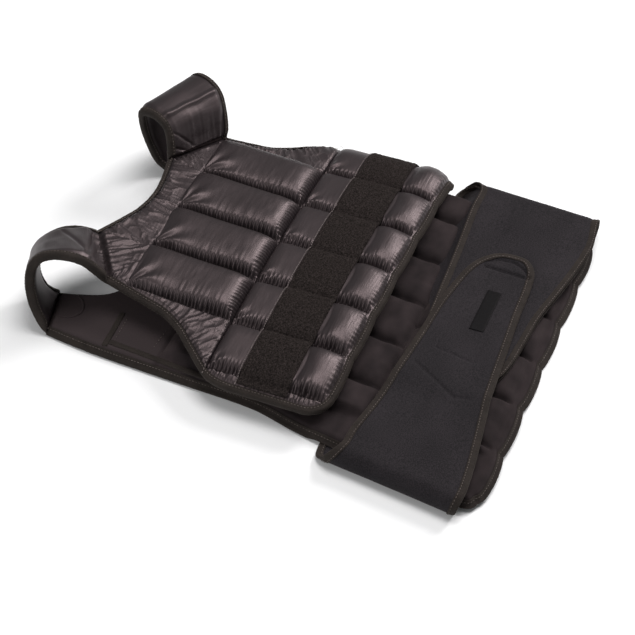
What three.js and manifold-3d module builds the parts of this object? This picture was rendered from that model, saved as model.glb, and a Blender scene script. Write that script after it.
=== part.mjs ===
// A weighted training vest lying on its back, collar towards +Y, wearer's left towards +X.
// Millimetres, +Z up. The front panel is folded over the back panel, the shoulder straps
// stand as open loops, and the two waist belts are folded over the inner face of the back.
import * as THREE from 'three';
import { mergeVertices } from 'three/addons/utils/BufferGeometryUtils.js';
import Module from 'manifold-3d';

const wasm = await Module();
wasm.setup();

// Driving dimensions
const clearance = 0.3;
const seamAllowance = 1.2;
const sliver = 0.05;
const cornerMerge = 0.001;

const front = {
  halfWidth: 193,
  rise: 174,
  drop: 128,
  midHeight: 40,
  archDepth: 11.2,
  collarLift: 18,
  seamHalf: 7,
  edgeHalf: 4.6,
  topCrown: 8,
  liningCrown: 5,
  cornerRadius: 24,
  flapBendStart: 148,
  flapBendRadius: 34,
  flapBendAngle: 0.8,
};
const pocket = { pitch: 60, columns: 6, upperColumns: 4, upperTop: 112, hemSeam: 121 };
const loopStrip = { start: 35, width: 53, thickness: 1.6, endMargin: 5 };

const back = {
  halfWidth: 176,
  rise: 200,
  drop: 294,
  thickness: 12,
  crown: 9,
  pitch: 62,
  columns: 5,
  rowStart: 58,
  rowSplit: -160,
  hemSeam: -282,
};
const belt = {
  thickness: 3.4,
  lowerInset: 95,
  stackGap: 0.7,
};
const strap = { thickness: 11, reach: 50, height: 98 };
const binding = { width: 4.6, height: 9.5 };
const label = { length: 58, width: 14.5, thickness: 0.8, fromTip: 86 };

// Outline tables: across is a share of the panel's half width, along a share of its rise
const frontArmhole = [
  { across: 1.0, along: -0.16 },
  { across: 0.969, along: -0.02 },
  { across: 0.839, along: 0.155 },
  { across: 0.762, along: 0.253 },
  { across: 0.7, along: 0.374 },
  { across: 0.674, along: 0.49 },
];
const frontShoulder = {
  right: { arm: { across: -0.625, along: 0.77 }, neck: { across: -0.36, along: 0.975 } },
  left: { arm: { across: 0.645, along: 0.66 }, neck: { across: 0.32, along: 0.87 } },
};
const frontNeckline = [
  { across: 0.155, along: 0.832 },
  { across: 0.02, along: 0.822 },
  { across: -0.115, along: 0.85 },
  { across: -0.25, along: 0.915 },
];
const backSide = {
  right: [
    { across: -1.0, along: 0.62 },
    { across: -1.025, along: 0.13 },
    { across: -1.045, along: -0.25 },
    { across: -1.12, along: -0.54 },
    { across: -1.225, along: -1.1 },
    { across: -1.285, along: -1.35 },
    { across: -1.235, along: -1.43 },
    { across: -1.08, along: -1.45 },
  ],
  left: [
    { across: -0.4, along: -1.445 },
    { across: 0.3, along: -1.44 },
    { across: 0.8, along: -1.43 },
    { across: 0.91, along: -1.38 },
    { across: 0.935, along: -1.28 },
    { across: 0.94, along: -0.6 },
    { across: 0.94, along: 0.1 },
    { across: 0.93, along: 0.55 },
  ],
};
const backShoulder = {
  right: { arm: { across: -0.965, along: 0.9 }, neck: { across: -0.665, along: 0.965 } },
  left: { arm: { across: 0.94, along: 0.775 }, neck: { across: 0.56, along: 0.86 } },
};
const backNeckline = [
  { across: 0.5, along: 0.72 },
  { across: 0.28, along: 0.63 },
  { across: 0, along: 0.61 },
  { across: -0.35, along: 0.64 },
  { across: -0.56, along: 0.73 },
];

// Strap sections between the shoulder seams. For each edge: outward and headward from its
// front seam as shares of strap.reach, and height as a share of strap.height.
const strapSections = {
  right: [
    { neckOut: 0.05, neckHead: 0.15, neckUp: 0.6, armOut: 0.16, armHead: 0.09, armUp: 0.66 },
    { neckOut: 0.15, neckHead: 0.34, neckUp: 0.64, armOut: 0.32, armHead: 0.3, armUp: 0.84 },
    { neckOut: 0.34, neckHead: 0.55, neckUp: 0.67, armOut: 0.44, armHead: 0.62, armUp: 0.91 },
    { neckOut: 0.55, neckHead: 0.74, neckUp: 0.655, armOut: 0.53, armHead: 0.93, armUp: 0.9 },
    { neckOut: 0.72, neckHead: 0.9, neckUp: 0.585, armOut: 0.61, armHead: 1.15, armUp: 0.84 },
    { neckOut: 0.86, neckHead: 0.97, neckUp: 0.45, armOut: 0.7, armHead: 1.28, armUp: 0.72 },
    { neckOut: 0.95, neckHead: 0.94, neckUp: 0.29, armOut: 0.8, armHead: 1.3, armUp: 0.55 },
    { neckOut: 0.98, neckHead: 0.82, neckUp: 0.15, armOut: 0.9, armHead: 1.21, armUp: 0.35 },
    { neckOut: 0.97, neckHead: 0.66, neckUp: 0.085, armOut: 0.96, armHead: 1.06, armUp: 0.18 },
  ],
  left: [
    { neckOut: 0.09, neckHead: 0.02, neckUp: 0.66, armOut: 0.12, armHead: 0.04, armUp: 0.63 },
    { neckOut: 0.17, neckHead: 0.07, neckUp: 0.79, armOut: 0.24, armHead: 0.12, armUp: 0.78 },
    { neckOut: 0.25, neckHead: 0.17, neckUp: 0.89, armOut: 0.4, armHead: 0.26, armUp: 0.9 },
    { neckOut: 0.33, neckHead: 0.35, neckUp: 0.945, armOut: 0.52, armHead: 0.46, armUp: 0.965 },
    { neckOut: 0.41, neckHead: 0.6, neckUp: 0.95, armOut: 0.64, armHead: 0.72, armUp: 0.975 },
    { neckOut: 0.49, neckHead: 0.82, neckUp: 0.9, armOut: 0.73, armHead: 0.95, armUp: 0.93 },
    { neckOut: 0.56, neckHead: 0.89, neckUp: 0.76, armOut: 0.77, armHead: 1.06, armUp: 0.79 },
    { neckOut: 0.61, neckHead: 0.86, neckUp: 0.54, armOut: 0.81, armHead: 1.09, armUp: 0.55 },
    { neckOut: 0.67, neckHead: 0.77, neckUp: 0.32, armOut: 0.83, armHead: 1.06, armUp: 0.32 },
    { neckOut: 0.71, neckHead: 0.66, neckUp: 0.16, armOut: 0.84, armHead: 0.98, armUp: 0.16 },
    { neckOut: 0.73, neckHead: 0.5, neckUp: 0.085, armOut: 0.84, armHead: 0.88, armUp: 0.085 },
  ],
};

// Belt stations along the top leg: x of the collar-side and hem-side edges as shares of
// back.halfWidth, y of each edge as a share of back.drop, and which layer it lies in.
const beltTop = {
  right: [
    { collarX: -1.215, collarY: -0.524, hemX: -1.3, hemY: -0.949, layer: 0 },
    { collarX: -1.1, collarY: -0.531, hemX: -1.14, hemY: -0.942, layer: 0 },
    { collarX: -0.87, collarY: -0.553, hemX: -0.93, hemY: -0.925, layer: 0 },
    { collarX: -0.72, collarY: -0.564, hemX: -0.74, hemY: -0.908, layer: 0.35 },
    { collarX: -0.62, collarY: -0.57, hemX: -0.63, hemY: -0.898, layer: 1 },
    { collarX: -0.34, collarY: -0.585, hemX: -0.34, hemY: -0.884, layer: 1 },
    { collarX: -0.02, collarY: -0.6, hemX: 0.02, hemY: -0.868, layer: 1 },
    { collarX: 0.22, collarY: -0.624, hemX: 0.24, hemY: -0.862, layer: 1 },
    { collarX: 0.36, collarY: -0.652, hemX: 0.38, hemY: -0.85, layer: 1 },
    { collarX: 0.44, collarY: -0.688, hemX: 0.45, hemY: -0.825, layer: 1 },
    { collarX: 0.475, collarY: -0.728, hemX: 0.478, hemY: -0.79, layer: 1 },
  ],
  left: [
    { collarX: 1.005, collarY: -0.556, hemX: 0.97, hemY: -0.982, layer: 0 },
    { collarX: 0.8, collarY: -0.56, hemX: 0.74, hemY: -0.978, layer: 0 },
    { collarX: 0.5, collarY: -0.576, hemX: 0.46, hemY: -0.958, layer: 0 },
    { collarX: 0.22, collarY: -0.588, hemX: 0.1, hemY: -0.918, layer: 0 },
    { collarX: 0, collarY: -0.596, hemX: -0.12, hemY: -0.906, layer: 0 },
    { collarX: -0.3, collarY: -0.612, hemX: -0.34, hemY: -0.893, layer: 0 },
    { collarX: -0.46, collarY: -0.64, hemX: -0.47, hemY: -0.868, layer: 0 },
    { collarX: -0.54, collarY: -0.68, hemX: -0.545, hemY: -0.83, layer: 0 },
    { collarX: -0.57, collarY: -0.725, hemX: -0.572, hemY: -0.785, layer: 0 },
  ],
};
const beltLower = {
  right: { collarY: -0.44, hemY: -0.925 },
  left: { collarY: -0.46, hemY: -0.955 },
};

const smooth = (t) => {
  const k = Math.min(1, Math.max(0, t));
  return k * k * (3 - 2 * k);
};

// Heights of the front panel's middle surface, and its form where the far flap hangs down
function frontMiddle(x, y) {
  const arch = front.archDepth * (x / front.halfWidth) ** 2;
  const toCollar = Math.max(0, (y / front.rise + 0.06) / 1.06);
  return front.midHeight - arch + front.collarLift * toCollar ** 1.5;
}

function frontForm(across, y, height) {
  const start = front.flapBendStart;
  const slope = Math.atan((2 * front.archDepth * Math.min(across, start)) / front.halfWidth ** 2);
  if (across <= start) {
    return new THREE.Vector3(across + height * Math.sin(slope), y,
      frontMiddle(across, y) + height * Math.cos(slope));
  }
  const turned = Math.min((across - start) / front.flapBendRadius, front.flapBendAngle);
  const angle = slope + turned;
  const straight = across - start - turned * front.flapBendRadius;
  const x = start + front.flapBendRadius * (Math.sin(angle) - Math.sin(slope))
    + straight * Math.cos(angle);
  const z = frontMiddle(start, y) - front.flapBendRadius * (Math.cos(slope) - Math.cos(angle))
    - straight * Math.sin(angle);
  return new THREE.Vector3(x + height * Math.sin(angle), y, z + height * Math.cos(angle));
}

// Quilting: a pillow is 0 on its seams and 1 along its middle
const pillow = (share) => Math.sqrt(Math.max(0, Math.sin(Math.PI * Math.min(1, Math.max(0, share)))));
const cellShare = (x, pitch, offset) => {
  const t = (x - offset) / pitch;
  return t - Math.floor(t);
};

function frontQuilt(x, y) {
  const halfRow = (pocket.pitch * pocket.columns) / 2;
  const halfUpper = (pocket.pitch * pocket.upperColumns) / 2;
  const column = pillow(cellShare(x, pocket.pitch, 0));
  const stripEnd = loopStrip.start + loopStrip.width;
  if (y >= 0) {
    return Math.abs(x) < halfUpper ? column * pillow(y / pocket.upperTop) : 0;
  }
  if (Math.abs(x) > halfRow) {
    return 0;
  }
  const held = 0.62;
  if (-y < loopStrip.start) {
    return column * held * pillow((-y / loopStrip.start) * 0.5);
  }
  if (-y <= stripEnd) {
    return column * held;
  }
  return column * held * pillow(0.5 + (0.5 * (-y - stripEnd)) / (pocket.hemSeam - stripEnd));
}

const liningFade = (x, y) => smooth((front.rise * 0.6 - y) / pocket.pitch)
  * smooth((pocket.pitch * 2.3 - Math.abs(x)) / (pocket.pitch * 0.3));
const frontEdgeFade = (x) => smooth((front.halfWidth - Math.abs(x)) / 20);
const frontTop = (x, y) => front.edgeHalf
  + (front.seamHalf - front.edgeHalf) * frontEdgeFade(x) + front.topCrown * frontQuilt(x, y);
const frontUnder = (x, y) => -front.edgeHalf
  - (front.seamHalf - front.edgeHalf) * frontEdgeFade(x)
  - front.liningCrown * frontQuilt(x, y) * liningFade(x, y);

// The back panel's underside rises over the belts' lower legs
const recess = {
  innerX: back.pitch * 1.25,
  ramp: back.pitch / 4,
  collarY: beltLower.right.collarY * back.drop + 3,
  depth: belt.thickness + 3 * clearance,
};
function beltRecess(x, y) {
  const inwards = smooth((Math.abs(x) - recess.innerX) / recess.ramp);
  return inwards * smooth((recess.collarY + recess.ramp - y) / recess.ramp) * recess.depth;
}

function backQuilt(x, y) {
  const half = (back.pitch * back.columns) / 2;
  if (y > back.rowStart || y < back.hemSeam || Math.abs(x) > half + 6) {
    return 0;
  }
  if (y > back.rowSplit) {
    const rowShare = (y - back.rowSplit) / (back.rowStart - back.rowSplit);
    return pillow(cellShare(x, back.pitch, 0)) * pillow(rowShare);
  }
  const rowShare = (y - back.hemSeam) / (back.rowSplit - back.hemSeam);
  return pillow(cellShare(x, back.pitch, back.pitch / 2)) * pillow(rowShare);
}

const backUnder = (x, y) => beltRecess(x, y);
const backTop = (x, y) => back.thickness + 0.25 * beltRecess(x, y) + back.crown * backQuilt(x, y);
const backMiddle = (x, y) => (back.thickness + 0.6 * beltRecess(x, y)) / 2 + 0.35 * beltRecess(x, y);
const backForm = (x, y, height) => new THREE.Vector3(x, y, height);

// Closed solids from grids of points
function shellFromGrid(upper, lower) {
  const rows = upper.length;
  const columns = upper[0].length;
  const points = [...upper.flat(), ...lower.flat()];
  const under = rows * columns;
  const at = (i, j) => i * columns + j;
  const index = [];
  const quad = (a, b, c, d) => index.push(a, b, c, a, c, d);
  for (let i = 0; i + 1 < rows; i += 1) {
    for (let j = 0; j + 1 < columns; j += 1) {
      quad(at(i, j), at(i, j + 1), at(i + 1, j + 1), at(i + 1, j));
      quad(under + at(i, j), under + at(i + 1, j), under + at(i + 1, j + 1), under + at(i, j + 1));
    }
  }
  const rim = [];
  for (let j = 0; j < columns; j += 1) rim.push(at(0, j));
  for (let i = 1; i < rows; i += 1) rim.push(at(i, columns - 1));
  for (let j = columns - 2; j >= 0; j -= 1) rim.push(at(rows - 1, j));
  for (let i = rows - 2; i > 0; i -= 1) rim.push(at(i, 0));
  rim.forEach((a, k) => {
    const b = rim[(k + 1) % rim.length];
    quad(a, under + a, under + b, b);
  });
  const geometry = new THREE.BufferGeometry().setFromPoints(points);
  geometry.setIndex(index);
  return geometry;
}

function asManifold(geometry) {
  geometry.deleteAttribute('normal');
  geometry.deleteAttribute('uv');
  const merged = mergeVertices(geometry, cornerMerge);
  return new wasm.Manifold(new wasm.Mesh({
    numProp: 3,
    vertProperties: new Float32Array(merged.attributes.position.array),
    triVerts: new Uint32Array(merged.index.array),
  }));
}

// A panel: a quilted sheet over a grid, cut to its outline, then formed
function panelGeometry(outline, columns, rows, top, under, form) {
  const sheet = (height) => rows.map((y) => columns.map((x) => new THREE.Vector3(x, y, height(x, y))));
  const quilted = asManifold(shellFromGrid(sheet(top), sheet(under)));
  const depth = 80;
  const prism = new THREE.ExtrudeGeometry(new THREE.Shape(outline), { depth, bevelEnabled: false });
  prism.translate(0, 0, -depth / 2);
  const cut = quilted.intersect(asManifold(prism)).getMesh();
  const points = [];
  for (let i = 0; i < cut.vertProperties.length; i += cut.numProp) {
    const [x, y, z] = cut.vertProperties.slice(i, i + 3);
    points.push(form(x, y, z));
  }
  const geometry = new THREE.BufferGeometry().setFromPoints(points);
  geometry.setIndex([...cut.triVerts]);
  return geometry;
}

// A band of even thickness through stations with two edges, a and b, and a normal n
function bandGeometry(stations, thickness, acrossSteps, grown = 0) {
  const layer = (side) => stations.map(({ a, b, n }) => {
    const widened = grown / a.distanceTo(b);
    return Array.from({ length: acrossSteps + 1 }, (_, j) => a.clone()
      .lerp(b, -widened + ((1 + 2 * widened) * j) / acrossSteps)
      .addScaledVector(n, side * (thickness / 2 + grown)));
  });
  return shellFromGrid(layer(1), layer(-1));
}

// Edge binding: an oval tape swept along stations with a centre and an outward and up direction
function bindingGeometry(stations, grown = 0) {
  const sides = 6;
  const rings = stations.map(({ centre, out, up }) => Array.from({ length: sides }, (_, k) => {
    const turn = (2 * Math.PI * (k + 0.5)) / sides;
    return centre.clone()
      .addScaledVector(out, Math.cos(turn) * (binding.width / 2 + grown))
      .addScaledVector(up, Math.sin(turn) * (binding.height / 2 + grown));
  }));
  const points = rings.flat();
  const index = [];
  for (let i = 0; i + 1 < rings.length; i += 1) {
    for (let k = 0; k < sides; k += 1) {
      const a = i * sides + k;
      const b = i * sides + ((k + 1) % sides);
      index.push(a, b, b + sides, a, b + sides, a + sides);
    }
  }
  const last = (rings.length - 1) * sides;
  for (let k = 1; k + 1 < sides; k += 1) {
    index.push(0, k + 1, k, last, last + k, last + k + 1);
  }
  const geometry = new THREE.BufferGeometry().setFromPoints(points);
  geometry.setIndex(index);
  return pointingOut(geometry);
}

function pointingOut(geometry) {
  const { array } = geometry.attributes.position;
  const list = geometry.index.array;
  const corner = (k) => new THREE.Vector3().fromArray(array, 3 * list[k]);
  let volume = 0;
  for (let k = 0; k < list.length; k += 3) {
    volume += corner(k).dot(corner(k + 1).cross(corner(k + 2)));
  }
  if (volume < 0) {
    for (let k = 0; k < list.length; k += 3) {
      [list[k], list[k + 1]] = [list[k + 1], list[k]];
    }
  }
  return geometry;
}

// What a sewn-on piece takes out of its neighbour, of which the largest body stays
const largestBody = (solid) => solid.simplify(sliver).decompose()
  .reduce((best, body) => (body.volume() > best.volume() ? body : best));

function surfaceOf(solid) {
  const mesh = solid.getMesh();
  const surface = new THREE.BufferGeometry();
  surface.setAttribute('position', new THREE.BufferAttribute(mesh.vertProperties, mesh.numProp));
  surface.setIndex([...mesh.triVerts]);
  return surface;
}

function cutBy(geometry, cutters) {
  const left = cutters.reduce((solid, cutter) => solid.subtract(cutter), asManifold(geometry));
  // Merging corners can pinch a thin neck shut, so the largest body is taken again after it
  const merged = asManifold(surfaceOf(largestBody(left)));
  return surfaceOf(largestBody(merged));
}

// Smooth runs through table rows
const scaled = (rows, size) => rows.map(({ across, along }) => new THREE.Vector2(
  across * size.halfWidth, along * size.rise));
const through = (points, steps) => new THREE.SplineCurve(points).getSpacedPoints(steps);
const mirrored = (rows) => rows.map(({ across, along }) => ({ across: -across, along }));

function frontRuns() {
  const left = frontShoulder.left;
  const right = frontShoulder.right;
  const leftArmhole = through(scaled([...frontArmhole, left.arm], front), 16);
  const rightArmhole = through(scaled([...mirrored(frontArmhole), right.arm], front), 18);
  const radius = front.cornerRadius;
  const corner = (side, from, to) => Array.from({ length: 7 }, (_, k) => {
    const turn = THREE.MathUtils.degToRad(from + ((to - from) * k) / 6);
    return new THREE.Vector2(side * (front.halfWidth - radius) + radius * Math.cos(turn),
      -front.drop + radius + radius * Math.sin(turn));
  });
  const hem = [-0.6, -0.2, 0.2, 0.6].map((share) => new THREE.Vector2(
    share * front.halfWidth, -front.drop));
  const outer = [...rightArmhole.reverse(), ...corner(-1, 180, 270), ...hem, ...corner(1, 270, 360),
    ...leftArmhole];
  const neck = through(scaled([left.neck, ...frontNeckline, right.neck], front), 18);
  return { outer, neck };
}

function backRuns() {
  const { left, right } = backShoulder;
  const outer = through(scaled([right.arm, ...backSide.right, ...backSide.left, left.arm], back), 84);
  const neck = through(scaled([left.neck, ...backNeckline, right.neck], back), 20);
  return { outer, neck };
}

const outlineOf = ({ outer, neck }) => [...outer, ...neck];

// A run with both ends drawn back, to clear the straps' own bindings
function drawnBack(run, length) {
  const drawn = run.map((point) => point.clone());
  const last = drawn.length - 1;
  drawn[0].lerp(run[1], length / run[0].distanceTo(run[1]));
  drawn[last].lerp(run[last - 1], length / run[last].distanceTo(run[last - 1]));
  return drawn;
}

// Binding stations along a run of a panel's outline, on the outside of its edge
function bindingStations(run, form, middle) {
  const offset = binding.width / 2 + 1.5 * clearance;
  return run.map((point, k) => {
    const before = run[Math.max(0, k - 1)];
    const after = run[Math.min(run.length - 1, k + 1)];
    const along = after.clone().sub(before).normalize();
    const out = new THREE.Vector2(along.y, -along.x);
    const at = point.clone().addScaledVector(out, offset);
    const base = middle(at.x, at.y);
    const centre = form(at.x, at.y, base);
    const outward = form(at.x + out.x, at.y + out.y, base).sub(centre);
    const up = form(at.x, at.y, base + 1).sub(centre).normalize();
    outward.addScaledVector(up, -outward.dot(up)).normalize();
    return { centre, out: outward, up };
  });
}

// Shoulder straps
function strapStations(side) {
  const sign = side === 'right' ? -1 : 1;
  const place = (size, { across, along }, height) => {
    const x = across * size.halfWidth;
    const y = along * size.rise;
    return new THREE.Vector3(x, y, height(x, y));
  };
  const start = {
    a: place(front, frontShoulder[side].neck, frontMiddle),
    b: place(front, frontShoulder[side].arm, frontMiddle),
  };
  const end = {
    a: place(back, backShoulder[side].neck, backMiddle),
    b: place(back, backShoulder[side].arm, backMiddle),
  };
  const edge = (from, out, head, up) => new THREE.Vector3(
    from.x + sign * out * strap.reach, from.y + head * strap.reach, up * strap.height);
  const middleRows = strapSections[side].map((row) => ({
    a: edge(start.a, row.neckOut, row.neckHead, row.neckUp),
    b: edge(start.b, row.armOut, row.armHead, row.armUp),
  }));
  const rows = [start, ...middleRows, end];
  const steps = 22;
  const neckCurve = new THREE.CatmullRomCurve3(rows.map((row) => row.a), false, 'centripetal');
  const armCurve = new THREE.CatmullRomCurve3(rows.map((row) => row.b), false, 'centripetal');
  const seamGap = (row) => {
    const across = row.b.clone().sub(row.a).setZ(0).normalize();
    const headward = new THREE.Vector3(-across.y * sign, across.x * sign, 0);
    return headward.multiplyScalar(clearance * 1.4);
  };
  // The steps next to the seams are twice as long, so that the strap can turn into them
  const counts = Array.from({ length: steps + 1 }, (_, k) => k)
    .filter((k) => k !== 1 && k !== steps - 1);
  return counts.map((k) => {
    const t = k / steps;
    const a = neckCurve.getPoint(t);
    const b = armCurve.getPoint(t);
    const ahead = neckCurve.getTangent(t).add(armCurve.getTangent(t));
    const n = new THREE.Vector3().crossVectors(b.clone().sub(a), ahead).multiplyScalar(-sign).normalize();
    if (k === 0 || k === steps) {
      n.set(0, 0, k === 0 ? 1 : -1);
      const shift = seamGap(k === 0 ? start : end);
      a.add(shift);
      b.add(shift);
    }
    return { a, b, n };
  });
}

// Stations of a strap's edge binding: the two edges run opposite ways, so both turn alike
function strapBindingStations(stations, edge) {
  const offset = binding.width / 2 + 3 * clearance;
  const other = edge === 'a' ? 'b' : 'a';
  const run = edge === 'a' ? stations : [...stations].reverse();
  return run.map((station) => {
    const out = station[edge].clone().sub(station[other]).normalize();
    const up = station.n.clone().addScaledVector(out, -station.n.dot(out)).normalize();
    return { centre: station[edge].clone().addScaledVector(out, offset), out, up };
  });
}

// Waist belts: a lower leg under the back panel, a fold past its edge, a top leg over it
const beltLayerHeight = (layer) => back.thickness + back.crown + 2.4
  + belt.thickness / 2 + layer * (belt.thickness + belt.stackGap);

function beltStations(side) {
  const rows = beltTop[side];
  const lower = beltLower[side];
  const sign = side === 'right' ? -1 : 1;
  const lowHeight = belt.thickness / 2;
  const topHeight = beltLayerHeight(0);
  const radius = (topHeight - lowHeight) / 2;
  const at = (x, y, z) => new THREE.Vector3(x, y, z);
  const collar = at(rows[0].collarX * back.halfWidth, rows[0].collarY * back.drop, 0);
  const hem = at(rows[0].hemX * back.halfWidth, rows[0].hemY * back.drop, 0);
  const stations = [];
  const lowerSteps = 4;
  for (let k = 0; k < lowerSteps; k += 1) {
    const share = k / lowerSteps;
    stations.push({
      a: at(sign * belt.lowerInset * (1 - share) + collar.x * share, lower.collarY * back.drop, lowHeight),
      b: at(sign * belt.lowerInset * (1 - share) + hem.x * share, lower.hemY * back.drop, lowHeight),
      n: at(0, 0, -1),
    });
  }
  const foldSteps = 8;
  for (let k = 0; k <= foldSteps; k += 1) {
    const turn = (Math.PI * k) / foldSteps;
    const share = smooth(k / foldSteps);
    const out = sign * radius * Math.sin(turn);
    const z = lowHeight + radius * (1 - Math.cos(turn));
    stations.push({
      a: at(collar.x + out, (lower.collarY * (1 - share) + rows[0].collarY * share) * back.drop, z),
      b: at(hem.x + out, (lower.hemY * (1 - share) + rows[0].hemY * share) * back.drop, z),
      n: at(sign * Math.sin(turn), 0, -Math.cos(turn)),
    });
  }
  rows.slice(1).forEach((row) => {
    const z = beltLayerHeight(row.layer);
    stations.push({
      a: at(row.collarX * back.halfWidth, row.collarY * back.drop, z),
      b: at(row.hemX * back.halfWidth, row.hemY * back.drop, z),
      n: at(0, 0, 1),
    });
  });
  return stations;
}

// Grid lines of the panels
function seamLines(halfExtent, pitch, count, shares, edge) {
  const lines = [];
  const first = (-pitch * count) / 2;
  for (let k = 0; k < count; k += 1) {
    lines.push(...shares.map((share) => first + (k + share) * pitch));
  }
  lines.push(-first);
  return [-halfExtent - edge, ...lines, halfExtent + edge];
}

function frontPanel() {
  const columns = seamLines(front.halfWidth, pocket.pitch, pocket.columns, [0, 0.16, 0.5, 0.84], 4);
  const stripEnd = loopStrip.start + loopStrip.width;
  const rows = [
    -front.drop - 4, -pocket.hemSeam, -(pocket.hemSeam + stripEnd) / 2, -stripEnd, -loopStrip.start,
    -loopStrip.start * 0.45, 0, ...[0.08, 0.3, 0.5, 0.7, 0.92, 1].map((k) => k * pocket.upperTop),
    front.rise * 0.74, front.rise * 0.85, front.rise + 4,
  ];
  return panelGeometry(outlineOf(frontRuns()), columns, rows, frontTop, frontUnder, frontForm);
}

function backPanel() {
  const quarter = [0, 0.25, 0.5, 0.75];
  const columns = seamLines(back.halfWidth * 1.33, back.pitch, 6, quarter, 4);
  const rows = [back.hemSeam - back.thickness, back.hemSeam,
    ...[0.12, 0.35, 0.65, 0.88].map((k) => back.hemSeam + k * (back.rowSplit - back.hemSeam)),
    back.rowSplit, recess.collarY - back.thickness, recess.collarY, recess.collarY + recess.ramp,
    ...[0.35, 0.5, 0.65, 0.8, 0.92].map(
      (k) => back.rowSplit + k * (back.rowStart - back.rowSplit)),
    back.rowStart, back.rise * 0.6, back.rise + 4];
  return panelGeometry(outlineOf(backRuns()), columns, rows, backTop, backUnder, backForm);
}

function stripGeometry() {
  const reach = front.halfWidth - loopStrip.endMargin;
  const columns = seamLines(0, pocket.pitch, pocket.columns, [0, 0.16, 0.5, 0.84], reach);
  const rows = [-loopStrip.start - loopStrip.width + 1, -loopStrip.start - 1];
  const layer = (rise) => rows.map((y) => columns.map(
    (x) => frontForm(x, y, frontTop(x, y) + rise)));
  return shellFromGrid(layer(clearance * 2 + loopStrip.thickness), layer(clearance * 2));
}

function labelGeometry(stations) {
  const z = beltLayerHeight(1) + belt.thickness / 2 + clearance;
  const tip = stations[stations.length - 1];
  const middle = tip.a.clone().lerp(tip.b, 0.5);
  const geometry = new THREE.BoxGeometry(label.length, label.width, label.thickness);
  geometry.translate(middle.x - label.fromTip, middle.y, z + label.thickness / 2);
  return geometry;
}

// Materials
const finish = (color, roughness) => new THREE.MeshStandardMaterial({ color, roughness, metalness: 0 });
const satin = finish(0x3a3638, 0.38);
const lining = finish(0x2b2627, 0.9);
const tape = finish(0x3d3832, 0.85);
const neoprene = finish(0x2f2d31, 0.88);
const velcro = finish(0x1f1b1a, 0.97);
const patch = finish(0x171618, 0.55);

const vest = new THREE.Group();
function add(name, geometry, material) {
  geometry.computeVertexNormals();
  const mesh = new THREE.Mesh(geometry, material);
  mesh.name = name;
  vest.add(mesh);
}

const frontEdges = frontRuns();
const backEdges = backRuns();
const straps = { right: strapStations('right'), left: strapStations('left') };
const belts = { right: beltStations('right'), left: beltStations('left') };
const acrossStrap = 4;
const acrossBelt = 5;

const strapBand = (side, grown) => pointingOut(bandGeometry(
  straps[side], strap.thickness, acrossStrap, grown));
const sides = ['right', 'left'];
const seamCutters = sides.flatMap((side) => [
  asManifold(strapBand(side, seamAllowance)),
  ...['a', 'b'].map((edge) => asManifold(
    bindingGeometry(strapBindingStations(straps[side], edge), seamAllowance))),
]);
const panelBinding = (run, form, middle) => cutBy(
  bindingGeometry(bindingStations(drawnBack(run, binding.width), form, middle)), seamCutters);

add('front_panel', cutBy(frontPanel(), seamCutters), satin);
add('front_edge_binding', panelBinding(frontEdges.outer, frontForm, () => 0), tape);
add('front_neck_binding', panelBinding(frontEdges.neck, frontForm, () => 0), tape);
add('loop_strip', stripGeometry(), velcro);
add('back_panel', cutBy(backPanel(), seamCutters), lining);
add('back_edge_binding', panelBinding(backEdges.outer, backForm, backMiddle), tape);
add('back_neck_binding', panelBinding(backEdges.neck, backForm, backMiddle), tape);
for (const side of sides) {
  add(`${side}_shoulder_strap`, strapBand(side, 0), satin);
  add(`${side}_strap_neck_binding`, bindingGeometry(strapBindingStations(straps[side], 'a')), tape);
  add(`${side}_strap_arm_binding`, bindingGeometry(strapBindingStations(straps[side], 'b')), tape);
  add(`${side}_belt`, pointingOut(bandGeometry(belts[side], belt.thickness, acrossBelt)), neoprene);
}
add('label_patch', labelGeometry(belts.right), patch);

const box = new THREE.Box3().setFromObject(vest);
vest.position.set(-(box.min.x + box.max.x) / 2, -(box.min.y + box.max.y) / 2, -box.min.z);

export default vest;
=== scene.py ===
"""Looks of a weighted training vest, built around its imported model.

The tables are in millimetres in the vest's own frame: its origin is where the front panel's
centre seam crosses its cross seam, +Y towards the collar, +X to the wearer's left, +Z up.
place() turns such points into metres in the row frame.
"""

import math

import bpy
import numpy as np
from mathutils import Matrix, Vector
from mathutils.kdtree import KDTree


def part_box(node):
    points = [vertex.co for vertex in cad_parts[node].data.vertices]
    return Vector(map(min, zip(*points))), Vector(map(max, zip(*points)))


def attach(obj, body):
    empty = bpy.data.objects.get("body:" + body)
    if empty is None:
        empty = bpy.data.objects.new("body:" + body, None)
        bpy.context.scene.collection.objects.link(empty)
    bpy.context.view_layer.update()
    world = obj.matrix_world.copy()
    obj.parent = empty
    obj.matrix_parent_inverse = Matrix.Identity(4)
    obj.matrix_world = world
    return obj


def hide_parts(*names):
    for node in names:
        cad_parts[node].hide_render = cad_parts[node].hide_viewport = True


bl_info = {
    "name": "Weighted vest",
    "version": (1, 0, 0),
    "blender": (4, 5, 0),
    "location": "3D View > Sidebar > Vest",
    "description": "Builds the cloth, tapes, belts and stage of a weighted vest",
    "category": "Object",
}

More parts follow.
